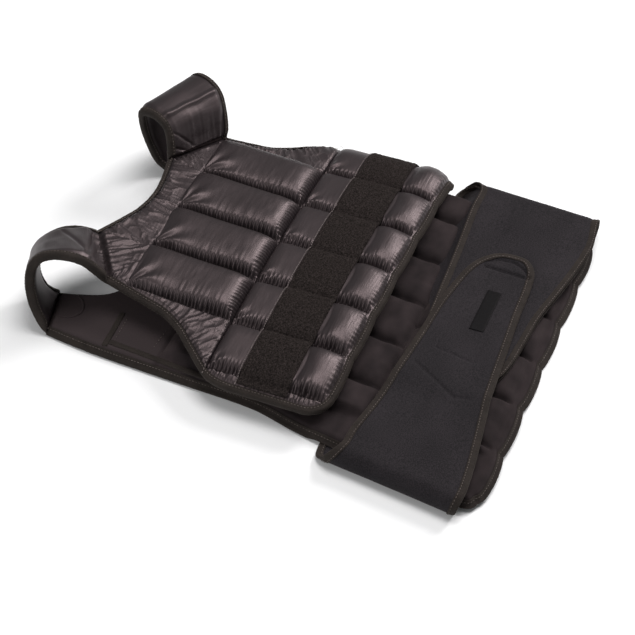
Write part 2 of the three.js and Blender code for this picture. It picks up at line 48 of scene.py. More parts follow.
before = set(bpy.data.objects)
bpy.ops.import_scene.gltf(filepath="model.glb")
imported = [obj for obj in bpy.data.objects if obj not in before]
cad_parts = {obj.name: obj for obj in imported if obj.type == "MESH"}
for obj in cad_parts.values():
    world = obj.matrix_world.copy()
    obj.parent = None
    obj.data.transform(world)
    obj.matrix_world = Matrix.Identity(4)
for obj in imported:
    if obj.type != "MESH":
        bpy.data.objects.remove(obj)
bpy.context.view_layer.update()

# Sizes of the solids that the cloth lies on
FRONT = {
    "half_width": 193, "rise": 174, "drop": 128, "mid_height": 40, "arch": 11.2,
    "collar_lift": 18, "seam_half": 7, "edge_half": 4.6, "crown": 8, "lining_crown": 5,
    "corner": 24, "rim_half": 2.8, "rim_run": 8, "side_fade": 20, "flap_start": 148,
    "flap_radius": 34, "flap_angle": 0.8, "halves_gap": 0.05,
}
POCKET = {
    "pitch": 60, "columns": 6, "upper_columns": 4, "upper_top": 112, "hem_seam": 121,
    "lower_crown": 0.62, "gather_depth": 2.6, "seam_depth": 3.6,
}
STRIP = {"start": 35, "width": 53, "thickness": 1.6, "end_margin": 5, "lift": 0.75}
BACK = {
    "half_width": 176, "rise": 200, "drop": 294, "thickness": 12, "crown": 9, "pitch": 62,
    "columns": 5, "row_start": 58, "row_split": -160, "hem_seam": -282, "rim": 3.4,
    # The last entry below is how far, in mm, the shoulder part's painted light fades in
    "hem_start": -270, "hem_growth": 2.2, "hem_bulge": 3.6, "painted_light_blend": 4,
}
BELT = {
    "thickness": 3.4, "lower_inset": 95, "stack_gap": 0.7, "over_back": 2.4, "extra_tape": 1.8,
    "tip_to_patch": 86,
}
STRAP = {"thickness": 11, "reach": 50, "height": 98, "rim_half": 3.4, "rim_run": 10,
         "length": 230}
TAPE = {"nose": 1.9, "stitch_inset": 1.7, "stitch_lift": 0.25}

# Spacing of the points along every outline
RUN_STEP = 1.2

# Outlines as shares of a panel's half width and rise
FRONT_ARMHOLE = ((1, -0.16), (0.969, -0.02), (0.839, 0.155), (0.762, 0.253), (0.7, 0.374),
                 (0.674, 0.49))
FRONT_SHOULDER = {
    "right": {"arm": (-0.625, 0.77), "neck": (-0.36, 0.975)},
    "left": {"arm": (0.645, 0.66), "neck": (0.32, 0.87)},
}
FRONT_NECKLINE = ((0.155, 0.832), (0.02, 0.822), (-0.115, 0.85), (-0.25, 0.915))
BACK_SIDE = {
    "right": ((-1, 0.62), (-1.025, 0.13), (-1.045, -0.25), (-1.12, -0.54), (-1.225, -1.1),
              (-1.285, -1.35), (-1.235, -1.43), (-1.08, -1.45)),
    "left": ((-0.4, -1.445), (0.3, -1.44), (0.8, -1.43), (0.91, -1.38), (0.935, -1.28),
             (0.94, -0.6), (0.94, 0.1), (0.93, 0.55)),
}
BACK_SHOULDER = {
    "right": {"arm": (-0.965, 0.9), "neck": (-0.665, 0.965)},
    "left": {"arm": (0.94, 0.775), "neck": (0.56, 0.86)},
}
BACK_NECKLINE = ((0.5, 0.72), (0.28, 0.63), (0, 0.61), (-0.35, 0.64), (-0.56, 0.73))

# Strap sections: neck edge out, head, up, arm edge out, head, up
STRAP_SECTIONS = {
    "right": (
        (0.05, 0.15, 0.6, 0.16, 0.09, 0.66), (0.15, 0.34, 0.64, 0.32, 0.3, 0.84),
        (0.34, 0.55, 0.67, 0.44, 0.62, 0.91), (0.55, 0.74, 0.655, 0.53, 0.93, 0.9),
        (0.72, 0.9, 0.585, 0.61, 1.15, 0.84), (0.86, 0.97, 0.45, 0.7, 1.28, 0.72),
        (0.95, 0.94, 0.29, 0.8, 1.3, 0.55), (0.98, 0.82, 0.15, 0.9, 1.21, 0.35),
        (0.97, 0.66, 0.085, 0.96, 1.06, 0.18),
    ),
    "left": (
        (0.09, 0.02, 0.66, 0.12, 0.04, 0.63), (0.17, 0.07, 0.79, 0.24, 0.12, 0.78),
        (0.25, 0.17, 0.89, 0.4, 0.26, 0.9), (0.33, 0.35, 0.945, 0.52, 0.46, 0.965),
        (0.41, 0.6, 0.95, 0.64, 0.72, 0.975), (0.49, 0.82, 0.9, 0.73, 0.95, 0.93),
        (0.56, 0.89, 0.76, 0.77, 1.06, 0.79), (0.61, 0.86, 0.54, 0.81, 1.09, 0.55),
        (0.67, 0.77, 0.32, 0.83, 1.06, 0.32), (0.71, 0.66, 0.16, 0.84, 0.98, 0.16),
        (0.73, 0.5, 0.085, 0.84, 0.88, 0.085),
    ),
}

# Belt rows on the top leg: collar x, collar y, hem x, hem y, layer
BELT_ROWS = {
    "right": (
        (-1.215, -0.524, -1.3, -0.949, 0), (-1.1, -0.531, -1.14, -0.942, 0),
        (-0.87, -0.553, -0.93, -0.925, 0), (-0.72, -0.564, -0.74, -0.908, 0.35),
        (-0.62, -0.57, -0.63, -0.898, 1), (-0.34, -0.585, -0.34, -0.884, 1),
        (-0.02, -0.6, 0.02, -0.868, 1), (0.22, -0.624, 0.24, -0.862, 1),
        (0.36, -0.652, 0.38, -0.85, 1), (0.44, -0.688, 0.45, -0.825, 1),
        (0.475, -0.728, 0.478, -0.79, 1),
    ),
    "left": (
        (1.0, -0.556, 0.955, -0.962, 0), (0.8, -0.56, 0.74, -0.978, 0),
        (0.5, -0.576, 0.46, -0.958, 0), (0.22, -0.588, 0.1, -0.918, 0),
        (0, -0.596, -0.12, -0.906, 0), (-0.3, -0.612, -0.34, -0.893, 0),
        (-0.46, -0.64, -0.47, -0.868, 0), (-0.54, -0.68, -0.545, -0.83, 0),
        (-0.57, -0.725, -0.572, -0.785, 0),
    ),
}
BELT_LOWER = {"right": (-0.44, -0.925), "left": (-0.46, -0.955)}

# Lines pressed into a belt's face: start, end, width, depth
TIP_ARC = ((60, -201), (69, -204), (74.5, -213), (75, -228), (69, -241), (58, -249))
BELT_LINES = {
    "right": (
        ((60, -201), (58, -249), 2.2, 2.9),
        *((start, end, 1.7, 2.4) for start, end in zip(TIP_ARC, TIP_ARC[1:])),
        ((-66, -193), (-73, -233), 1.2, 1.0),
        ((-66, -193), (-26, -196), 1.2, 0.6), ((-73, -233), (-33, -236), 1.2, 0.6),
        ((-92, -182), (-122, -232), 2.2, 1.3), ((-122, -232), (-118, -246), 2.2, 1.1),
    ),
    "left": (),
}

# Sewn on the back panel's inner face: piece, route, width, material
BACK_TAPES = (
    ("lining_cross_tape", ((-124, 118), (-148, 116), (-171, 115)), 6, "tape"),
    ("lining_side_tape", ((-165, 112), (-168, 70), (-172, 20), (-174, -30)), 6, "tape"),
    ("lining_shoulder_seam", ((-118, 172), (-124, 163), (-136, 157), (-147, 162), (-152, 176)),
     2.2, "lining"),
)
LINING_THREADS = (((-130, 67), (-154, 68.5)), ((-131, 110), (-165, 108)))

# Length of the gathers on the side of each seam that faces the hem of the right armhole,
# from the right side seam to the left one
GATHER_REACH = (9, 8.5, 7.5, 7, 6, 5, 4)
SIDE_REACH = 3

# Lamps, all turned to the vest: name, place, size, power
LAMPS = (
    ("overhead", (0.3, -0.25, 2.4), 1.25, 38),
    ("window", (1.6, -0.95, 1.5), 0.8, 38),
    ("side", (-1.6, 0.9, 1.2), 0.9, 14),
)
# Worked out from the crossings of the quilting seams in the photograph
PHOTO_VIEW = {
    "azimuth": -67.77, "elevation": 45.09, "distance": 2.0, "lens": 112.37,
    "target": (-0.01856, -0.02515, 0),
}

# The patch's distance from the belt's tip places the vest's own frame in the row
TIP_X = (BELT_ROWS["right"][-1][0] + BELT_ROWS["right"][-1][2]) / 2 * BACK["half_width"]
TIP_Y = (BELT_ROWS["right"][-1][1] + BELT_ROWS["right"][-1][3]) / 2 * BACK["drop"]
patch_low, patch_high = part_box("label_patch")
ORIGIN = np.array([
    (patch_low.x + patch_high.x) / 2 - (TIP_X - BELT["tip_to_patch"]) / 1000,
    (patch_low.y + patch_high.y) / 2 - TIP_Y / 1000,
    0.0,
])


def place(points):
    """Millimetres in the vest's own frame to metres in the row frame."""
    return np.asarray(points, float) / 1000 + ORIGIN


def smooth(t):
    """0 up to 0, 1 from 1 on, and an even S between."""
    k = np.clip(t, 0, 1)
    return k * k * (3 - 2 * k)


def swell(distance, reach):
    """0 on a seam, rising steeply and then ever flatter to 1 at a reach from it."""
    left = 1 - np.clip(distance / reach, 0, 1)
    return (1 - left**2.4) ** 0.6


def full_end(distance, reach):
    """Like swell, but rounder: the end of a pocket that its weights have filled."""
    left = 1 - np.clip(distance / reach, 0, 1)
    return (1 - left**3) ** 0.75


def noise1(t, seed):
    """Smooth noise along a line, from -1 to 1, with one swing for each whole number."""
    table = np.random.default_rng(seed).uniform(-1, 1, 512)
    cell = np.floor(t).astype(int)
    w = smooth(t - cell)
    return table[cell % 512] * (1 - w) + table[(cell + 1) % 512] * w


def noise2(x, y, seed):
    """Smooth noise over a plane, from -1 to 1."""
    table = np.random.default_rng(seed).uniform(-1, 1, (64, 64))
    i, j = np.floor(x).astype(int), np.floor(y).astype(int)
    u, v = smooth(x - i), smooth(y - j)
    low = table[i % 64, j % 64] * (1 - u) + table[(i + 1) % 64, j % 64] * u
    high = table[i % 64, (j + 1) % 64] * (1 - u) + table[(i + 1) % 64, (j + 1) % 64] * u
    return low * (1 - v) + high * v


def curve_through(points, count):
    """So many points on a smooth curve that passes through the given ones."""
    p = np.asarray(points, float)
    last = len(p) - 1
    t = np.linspace(0, last, count)
    i = np.minimum(t.astype(int), last - 1)
    w = (t - i)[:, None]
    a, b, c, d = p[np.maximum(i - 1, 0)], p[i], p[i + 1], p[np.minimum(i + 2, last)]
    return 0.5 * (2 * b + (c - a) * w + (2 * a - 5 * b + 4 * c - d) * w**2
                  + (3 * b - a - 3 * c + d) * w**3)


def spline(points, spacing=RUN_STEP):
    """Evenly spaced points on the smooth curve through the given ones."""
    return resampled(curve_through(points, 60 * (len(points) - 1) + 1), spacing)


def resampled(curve, spacing):
    """The same line with its points evenly spaced."""
    run = np.concatenate([[0], np.cumsum(np.linalg.norm(np.diff(curve, axis=0), axis=1))])
    count = max(2, int(round(run[-1] / spacing)))
    at = np.linspace(0, run[-1], count + 1)
    return np.stack([np.interp(at, run, curve[:, k]) for k in range(curve.shape[1])], 1)


def scaled(rows, across, along):
    """Shares of a panel's size as millimetres."""
    return [(x * across, y * along) for x, y in rows]


def inside(outline, x, y):
    """Which points lie inside a closed outline."""
    result = np.zeros(x.shape, bool)
    px, py = outline[:, 0], outline[:, 1]
    qx, qy = np.roll(px, -1), np.roll(py, -1)
    for ax, ay, bx, by in zip(px, py, qx, qy):
        if ay == by:
            continue
        crosses = (ay > y) != (by > y)
        result ^= crosses & (x < (bx - ax) * (y - ay) / (by - ay) + ax)
    return result


# Meshes

def add_mesh(name, points, faces, flat=None, gather=None):
    """A smooth object from points in millimetres.

    flat is its flat pattern, kept in metres as its UVs. gather is how tightly each point's
    cloth is gathered, from 0 to 1, which the satin's material reads.
    """
    mesh = bpy.data.meshes.new(name)
    mesh.from_pydata(place(points).tolist(), [], faces)
    if flat is not None:
        layer = mesh.uv_layers.new(name="flat")
        corner = np.zeros(len(mesh.loops), np.int32)
        mesh.loops.foreach_get("vertex_index", corner)
        layer.data.foreach_set("uv", (np.asarray(flat) / 1000)[corner].astype(np.float32).ravel())
    if gather is not None:
        layer = mesh.attributes.new("gather", "FLOAT", "POINT")
        layer.data.foreach_set("value", np.asarray(gather, np.float32))
    mesh.validate()
    mesh.shade_smooth()
    obj = bpy.data.objects.new(name, mesh)
    bpy.context.scene.collection.objects.link(obj)
    return obj


def outline_tree(outline):
    """A search tree of an outline's points."""
    tree = KDTree(len(outline))
    for k, (x, y) in enumerate(outline):
        tree.insert((x, y, 0), k)
    tree.balance()
    return tree


def nearest(tree, x, y):
    """Distance to the outline, and which of its points is nearest."""
    found = [tree.find((a, b, 0)) for a, b in zip(x.tolist(), y.tolist())]
    return np.array([f[2] for f in found]), np.array([f[1] for f in found])


def cloth_grid(outline, step):
    """Points, quads and the rim, anticlockwise, of a square grid that fills an outline."""
    low, high = outline.min(0), outline.max(0)
    xs = np.arange(low[0] - step / 2, high[0] + step, step)
    ys = np.arange(low[1] - step / 2, high[1] + step, step)
    gx, gy = np.meshgrid(xs, ys)
    held = inside(outline, gx.ravel(), gy.ravel()).reshape(gx.shape)
    cells = held[:-1, :-1] & held[:-1, 1:] & held[1:, :-1] & held[1:, 1:]
    while True:
        ll, lr, ul, ur = cells[:-1, :-1], cells[:-1, 1:], cells[1:, :-1], cells[1:, 1:]
        rising, falling = ll & ur & ~ul & ~lr, ul & lr & ~ll & ~ur
        if not (rising.any() or falling.any()):
            break
        cells[1:, 1:][rising] = False
        cells[1:, :-1][falling] = False
    columns = gx.shape[1]
    i, j = np.nonzero(cells)
    corner = i * columns + j
    quads = np.stack([corner, corner + 1, corner + columns + 1, corner + columns], 1)
    used, quads = np.unique(quads, return_inverse=True)
    quads = quads.reshape(-1, 4)
    points = np.stack([gx.ravel()[used], gy.ravel()[used]], 1)
    a = quads.ravel()
    b = np.roll(quads, -1, axis=1).ravel()
    size = len(points)
    open_edge = ~np.isin(a * size + b, b * size + a)
    following = dict(zip(a[open_edge].tolist(), b[open_edge].tolist()))
    rim = []
    while following:
        start = next(iter(following))
        loop = [start]
        while following.get(loop[-1]) is not None:
            loop.append(following.pop(loop[-1]))
            if loop[-1] == start:
                loop.pop()
                break
        if len(loop) > len(rim):
            rim = loop
    return points, quads, np.array(rim)


def zip_rims(upper, upper_at, lower, lower_at, span):
    """Triangles between two anticlockwise rims, matched by how far round they are."""
    def from_start(rim, at):
        start = int(np.argmin(at))
        rim, at = np.roll(rim, -start), np.maximum.accumulate(np.roll(at, -start))
        return rim.tolist() + [int(rim[0])], at.tolist() + [span]

    upper, upper_at = from_start(upper, upper_at)
    lower, lower_at = from_start(lower, lower_at)
    i = j = 0
    faces = []
    while i < len(upper) - 1 or j < len(lower) - 1:
        if j == len(lower) - 1 or (i < len(upper) - 1 and upper_at[i + 1] <= lower_at[j + 1]):
            faces.append((upper[i + 1], upper[i], lower[j]))
            i += 1
        else:
            faces.append((lower[j], lower[j + 1], upper[i]))
            j += 1
    return faces


def cloth_pad(name, outline, border, steps, top, under, form, gather=None):
    """A closed pad: a fine upper face, a coarser lower one, and a wall along the outline.

    The faces fall towards the border, which is longer than the outline on a part of a panel.
    top gets x, y, the distance to the border and how far round it the nearest place is.
    """
    rim_step = 0.5
    rim_line = resampled(np.vstack([outline, outline[:1]]), rim_step)[:-1]
    border_line = resampled(np.vstack([border, border[:1]]), rim_step)[:-1]
    tree, border_tree = outline_tree(rim_line), outline_tree(border_line)
    layers = []
    for spacing in steps:
        points, quads, rim = cloth_grid(outline, spacing)
        _, at = nearest(tree, points[rim, 0], points[rim, 1])
        points[rim] = rim_line[at]
        distance, which = nearest(border_tree, points[:, 0], points[:, 1])
        layers.append((points, quads, rim, at, distance, which))
    upper, upper_quads, upper_rim, upper_at, d_top, w_top = layers[0]
    lower, lower_quads, lower_rim, lower_at, d_low, _ = layers[1]
    heights = top(upper[:, 0], upper[:, 1], d_top, w_top * rim_step)
    depths = under(lower[:, 0], lower[:, 1], d_low)
    points = np.vstack([form(upper[:, 0], upper[:, 1], heights),
                        form(lower[:, 0], lower[:, 1], depths)])
    base = len(upper)
    faces = upper_quads.tolist() + (lower_quads[:, ::-1] + base).tolist()
    faces += zip_rims(upper_rim, upper_at, lower_rim + base, lower_at, len(rim_line))
    flat = np.vstack([upper, lower])
    held = None if gather is None else gather(flat[:, 0], flat[:, 1])
    return add_mesh(name, points, faces, flat, held)


def tube_mesh(name, rings, flat=None, gather=None):
    """A closed tube from an array of rings (stations, points round, 3), with flat ends."""
    stations, around = rings.shape[:2]
    index = np.arange(stations * around).reshape(stations, around)
    a, b = index[:-1], index[1:]
    quads = np.stack([a, np.roll(a, -1, 1), np.roll(b, -1, 1), b], -1).reshape(-1, 4)
    faces = quads.tolist() + [index[0][::-1].tolist(), index[-1].tolist()]
    points = rings.reshape(-1, 3)
    p = points[quads]
    volume = np.einsum("ij,ij->i", p[:, 0], np.cross(p[:, 1], p[:, 2])).sum()
    volume += np.einsum("ij,ij->i", p[:, 0], np.cross(p[:, 2], p[:, 3])).sum()
    if volume < 0:
        faces = [face[::-1] for face in faces]
    return add_mesh(name, points, faces, flat, gather)


def folded_tape(name, surface, count, width, thickness, seed):
    """A tape folded over an edge. surface(inset, side, lift) gives a point for each station."""
    run = np.arange(count)
    ripple = 0.22 * noise1(run / 5.0, seed) + 0.12 * noise1(run / 1.7, seed + 1)
    insets = [share * width for share in (1, 0.86, 0.6, 0.3, 0.02)]
    turns = np.radians([62, 32, 0, -32, -62])
    outer = [(q, 1) for q in insets]
    outer += [(-TAPE["nose"] * math.cos(t), math.sin(t)) for t in turns]
    outer += [(q, -1) for q in insets[::-1]]
    rings = [surface(*outer[0], thickness + 0.6 * ripple)]
    rings += [surface(q, s, thickness + ripple) for q, s in outer[1:]]
    for q, s in outer[::-1]:
        wall = thickness if q < 0 else 0
        rings.append(surface(q + wall, s, np.full(count, 0.1)))
    return tube_mesh(name, np.stack(rings, 1))


def sewn_band(name, route, width, surface):
    """A flat tape that follows a surface along a route."""
    ahead = np.gradient(route, axis=0)
    ahead /= np.linalg.norm(ahead, axis=1)[:, None]
    side = np.stack([-ahead[:, 1], ahead[:, 0]], 1)
    rings = []
    for across, lift in ((-0.5, 0.05), (-0.47, 0.7), (-0.3, 0.95), (0.3, 0.95), (0.47, 0.7),
                         (0.5, 0.05)):
        flat = route + side * across * width
        rings.append(np.column_stack([flat, surface(flat[:, 0], flat[:, 1]) + lift]))
    return tube_mesh(name, np.stack(rings, 1))


def thread_template():
    """One stitch along X: a short rounded thread 1 mm long, scaled where it is placed."""
    bpy.ops.object.select_all(action="DESELECT")
    bpy.ops.mesh.primitive_uv_sphere_add(segments=6, ring_count=4, radius=0.5)
    ball = bpy.context.active_object
    bpy.ops.object.mode_set(mode="EDIT")
    bpy.ops.mesh.select_all(action="SELECT")
    bpy.ops.transform.rotate(value=math.pi / 2, orient_axis="Y", center_override=(0, 0, 0))
    bpy.ops.object.mode_set(mode="OBJECT")
    points = np.array([v.co for v in ball.data.vertices])
    faces = [list(p.vertices) for p in ball.data.polygons]
    mesh = ball.data
    bpy.data.objects.remove(ball)
    bpy.data.meshes.remove(mesh)
    return points, faces


def stitches(name, rows, length, thickness):
    """One mesh of stitches. rows holds (centres, directions, normals) arrays in millimetres."""
    shape, faces = thread_template()
    points, polygons = [], []
    for centres, along, normals in rows:
        along = along / np.linalg.norm(along, axis=1)[:, None]
        across = np.cross(normals, along)
        across /= np.linalg.norm(across, axis=1)[:, None]
        up = np.cross(along, across)
        for c, a, s, u in zip(centres, along, across, up):
            base = len(points) * len(shape)
            points.append(c + shape[:, :1] * a * length + shape[:, 1:2] * s * thickness
                          + shape[:, 2:] * u * thickness * 0.8)
            polygons += [[base + k for k in face] for face in faces]
    return add_mesh(name, np.vstack(points), polygons)


# Front panel

def front_middle(x, y):
    """Height of the front panel's middle: arched across, and rising to the collar."""
    to_collar = np.maximum(0, (y / FRONT["rise"] + 0.06) / 1.06)
    arch = FRONT["arch"] * (x / FRONT["half_width"]) ** 2
    return FRONT["mid_height"] - arch + FRONT["collar_lift"] * to_collar**1.5


def front_base(x):
    """Half the front panel's thickness on its seams, less towards its sides."""
    fade = smooth((FRONT["half_width"] - np.abs(x)) / FRONT["side_fade"])
    return FRONT["edge_half"] + (FRONT["seam_half"] - FRONT["edge_half"]) * fade


def front_form(x, y, height):
    """The flat pattern bent over the pockets below, with the far flap hanging down."""
    start, radius = FRONT["flap_start"], FRONT["flap_radius"]
    slope = np.arctan(2 * FRONT["arch"] * np.minimum(x, start) / FRONT["half_width"] ** 2)
    turned = np.clip((x - start) / radius, 0, FRONT["flap_angle"])
    angle = slope + turned
    straight = np.maximum(0, x - start - turned * radius)
    near = x <= start
    px = np.where(near, x, start + radius * (np.sin(angle) - np.sin(slope))
                  + straight * np.cos(angle)) + height * np.sin(angle)
    pz = np.where(near, front_middle(x, y), front_middle(start, y)
                  - radius * (np.cos(slope) - np.cos(angle)) - straight * np.sin(angle))
    return np.stack([px, y, pz + height * np.cos(angle)], -1)


def comb(run, seed, pitch):
    """How deep each gather's groove is, from 0 on a ridge to 1 in a groove."""
    phase = run / pitch + 0.45 * noise1(run / (2.3 * pitch), seed)
    tooth = 0.5 - 0.5 * np.cos(2 * np.pi * phase)
    return tooth**0.7 * (0.78 + 0.22 * noise1(phase * 0.9, seed + 1))


def gathered(distance, groove, reach):
    """The distance from a seam less what its gathers take, and how deep the gathers are."""
    fall = 1 - smooth((distance - 0.35 * reach) / (1.1 * reach))
    dip = groove * np.exp(-(((distance - 0.35 * reach) / (0.6 * reach)) ** 2))
    return np.maximum(distance - 0.75 * groove * reach * fall, 0), dip


def valley(distance):
    """1 on the stitches of a seam, and nearly 0 at 5 mm from it."""
    return np.exp(-np.abs(distance) / 2)


def column_gaps(x, y, teeth):
    """Distances to a column's two seams less the gathers, and the depth of the gathers."""
    pitch = POCKET["pitch"]
    column = np.floor(x / pitch)
    low = x - column * pitch
    high = pitch - low
    groove_low, groove_high = np.zeros_like(x), np.zeros_like(x)
    for seam in range(-3, 4):
        groove = comb(y, 90 + 7 * seam, teeth)
        groove_low = np.where(column == seam, groove, groove_low)
        groove_high = np.where(column + 1 == seam, groove, groove_high)
    reach = np.interp(column, range(-3, 4), GATHER_REACH)
    reach = reach * (1.15 - 0.5 * smooth(y / POCKET["upper_top"]))
    low, dip_low = gathered(low, groove_low, reach)
    high, dip_high = gathered(high, groove_high, SIDE_REACH)
    return low, high, dip_low + 0.15 * dip_high


def columns_shape(low, high):
    """How full a column of pockets is, from 0 on its seams, by the distances to them."""
    crest = 0.93 + 0.07 * np.sin(np.pi * np.clip(low / (low + high + 0.001), 0, 1))
    return swell(low, 25) * swell(high, 17) * crest


def corner_fan(x, y, at, ridges, size, turn):
    """Creases that fan out from a corner of a pocket."""
    dx, dy = x - at[0], y - at[1]
    radius = np.hypot(dx, dy)
    return np.cos(ridges * np.arctan2(dy, dx) + turn) * np.exp(-((radius - size) / size) ** 2)


def hem_gap(x, y):
    """Distance up from the hem ends of the lower pockets, which bulge over the hem."""
    share = x / POCKET["pitch"] - np.floor(x / POCKET["pitch"])
    return POCKET["hem_seam"] + 4.5 * np.sin(np.pi * share) + y


def upper_pockets(x, y, columns, dip, teeth):
    """Fullness, gathers and extent of the upper pockets: steep at the hem end, soft above."""
    top = POCKET["upper_top"]
    half_row = POCKET["pitch"] * POCKET["upper_columns"] / 2
    held = (y >= 0) & (np.abs(x) < half_row) & (y < top)
    hem_end, hem_dip = gathered(y, 0.35 * comb(x + 0.5 * y, 201, teeth * 0.9), 8)
    head_end = np.maximum(top + 2 * noise1(x / 15, 202) - y, 0)
    filled = 1 + 0.45 * (1 - smooth(y / 90))
    quilt = columns * full_end(hem_end, 30) * swell(head_end, 34) * held * filled
    return quilt, (1.6 * dip + 0.25 * hem_dip) * held, held


def lower_pockets(x, y, columns, dip, teeth):
    """The same for the lower pockets: short above the strip, and fuller below it."""
    strip_end = STRIP["start"] + STRIP["width"]
    half_row = POCKET["pitch"] * POCKET["columns"] / 2
    held = (y < 0) & (np.abs(x) < half_row) & (hem_gap(x, y) > 0)
    head, head_dip = gathered(-y, comb(x, 211, teeth * 1.2), 3.5)
    hem_comb = comb(x + 3 * noise1(x / 11, 222), 221, teeth * 1.3)
    to_hem, hem_dip = gathered(hem_gap(x, y), 0.3 * hem_comb, 6)
    to_strip = np.clip(to_hem / (POCKET["hem_seam"] + 2 - strip_end), 0, 1)
    full = 1 + 0.75 * np.sin(np.pi * to_strip**1.5)
    row = np.where(-y < strip_end, swell(head, 16), full_end(to_hem, 20) * full)
    quilt = POCKET["lower_crown"] * columns * row * held
    return quilt, (1.4 * dip + 0.25 * head_dip + 0.3 * hem_dip) * held, held


def loose_satin(x, y, edge, run, teeth, in_pockets):
    """Folds outside the pockets, which start at the tape and run inwards."""
    half_row = POCKET["pitch"] * POCKET["columns"] / 2
    loose = np.where(y >= 0, 1 - in_pockets, smooth((np.abs(x) - half_row + 3) / 3))
    fold = 1 - np.abs(noise2(run / 7.5, edge / 30 + 0.2 * noise1(run / 9, 9), 3))
    crease = 1 - np.abs(noise2(run / 3.4 + 0.4 * noise1(edge / 6, 12), edge / 13, 10))
    folds = smooth((edge - 2) / 6) * (1.4 * fold**2.5 + 0.7 * crease**4)
    waves = smooth((edge - 4) / 9) * 0.9 * noise2(x / 16, y / 16, 4)
    gathers = comb(run, 231, teeth * 1.3) * np.clip(0.7 + 0.5 * noise1(run / 14, 232), 0, 1)
    return loose * (folds + waves - 2.4 * gathers * np.exp(-np.maximum(edge - 5, 0) / 7))


def corner_creases(x, y, low, in_pockets):
    """Creases at the pockets' corners, long at the head ends of the upper ones."""
    pitch, top = POCKET["pitch"], POCKET["upper_top"]
    creases = np.zeros_like(x)
    for k in range(-2, 2):
        fan = corner_fan(x, y, (k * pitch + 2, top), 9, 17, k * 1.3)
        creases += 1.5 * fan * in_pockets * (x > k * pitch)
    for k in range(-3, 3):
        fan = corner_fan(x, y, (k * pitch + 3, -2), 7, 9, k * 2.1)
        creases += fan * (y < -1) * (x > k * pitch)
    return creases * smooth(low / 4)


def front_relief(x, y, edge, run, teeth):
    """Height of the satin above the middle of the front panel."""
    pitch, top = POCKET["pitch"], POCKET["upper_top"]
    half_row, half_upper = pitch * POCKET["columns"] / 2, pitch * POCKET["upper_columns"] / 2
    low, high, dip = column_gaps(x, y, teeth)
    columns = columns_shape(low, high)
    upper_quilt, upper_dip, in_upper = upper_pockets(x, y, columns, dip, teeth)
    lower_quilt, lower_dip, in_lower = lower_pockets(x, y, columns, dip, teeth)
    quilt = upper_quilt + lower_quilt
    seam = np.abs(x / pitch - np.round(x / pitch)) * pitch
    stitched = valley(seam) * (in_upper | in_lower) + valley(y) * (np.abs(x) < half_row)
    height = front_base(x) + FRONT["crown"] * quilt - POCKET["seam_depth"] * stitched
    height -= POCKET["gather_depth"] * (upper_dip + lower_dip)

    in_pockets = smooth((half_upper + 3 - np.abs(x)) / 6) * smooth((top + 3 - y) / 6)
    height += loose_satin(x, y, edge, run, teeth, in_pockets)
    height += corner_creases(x, y, low, in_pockets)

    # Pulls in the satin that carry on from the gathers, and the weights' soft lumps
    pulls = 0.65 * (np.exp(-low / 13) + 0.6 * np.exp(-high / 8)) * noise2(x / 17, y / 2.7, 8)
    lumps = 0.4 * noise2(x / 19, y / 31, 6) + 0.08 * noise2(x / 8, y / 5, 7)
    height += quilt * (pulls + lumps)
    return FRONT["rim_half"] + (height - FRONT["rim_half"]) * smooth(edge / FRONT["rim_run"])


def front_gather(x, y):
    """How tightly the satin is gathered: least on the tops of the pockets."""
    pitch, top = POCKET["pitch"], POCKET["upper_top"]
    low = x - np.floor(x / pitch) * pitch
    near_seam = np.exp(-low / 11) + 0.5 * np.exp((low - pitch) / 6)
    near_row = np.exp(-np.abs(y) / 8) + np.exp(-np.abs(hem_gap(x, y)) / 24)
    in_pockets = smooth((pitch * 2 - np.abs(x)) / 8) * smooth((top - y) / 20)
    loose = np.where(y > 0, 1 - in_pockets, 0)
    return np.clip(near_seam * (1 - loose) + near_row + 0.45 * loose, 0, 1)


def front_lining(x, y, edge):
    """Height of the lining below the middle of the front panel."""
    pitch = POCKET["pitch"]
    share = x / pitch - np.floor(x / pitch)
    column = np.sin(np.pi * share)
    upper = np.abs(x) < pitch * POCKET["upper_columns"] / 2
    lower = np.abs(x) < pitch * POCKET["columns"] / 2
    upper_row = column * np.sin(np.pi * np.clip(y / POCKET["upper_top"], 0, 1)) * upper
    lower_row = column * np.sin(np.pi * np.clip(-y / POCKET["hem_seam"], 0, 1)) * lower
    lower_row = lower_row * POCKET["lower_crown"]
    lying = smooth((FRONT["rise"] * 0.6 - y) / pitch) * smooth((pitch * 2.3 - abs(x)) / 18)
    pillow = FRONT["lining_crown"] * np.where(y > 0, upper_row, lower_row) * lying
    past_rim = front_base(x) + pillow - FRONT["rim_half"]
    return -FRONT["rim_half"] - past_rim * smooth(edge / FRONT["rim_run"])


def strip_base(x):
    """Height of the loop strip's underside, which lies on the pockets and dips between them."""
    pitch = POCKET["pitch"]
    low = x - np.floor(x / pitch) * pitch
    held = np.abs(x) < pitch * POCKET["columns"] / 2
    quilt = POCKET["lower_crown"] * columns_shape(low, pitch - low) * held
    return front_base(x) + FRONT["crown"] * quilt + STRIP["lift"]


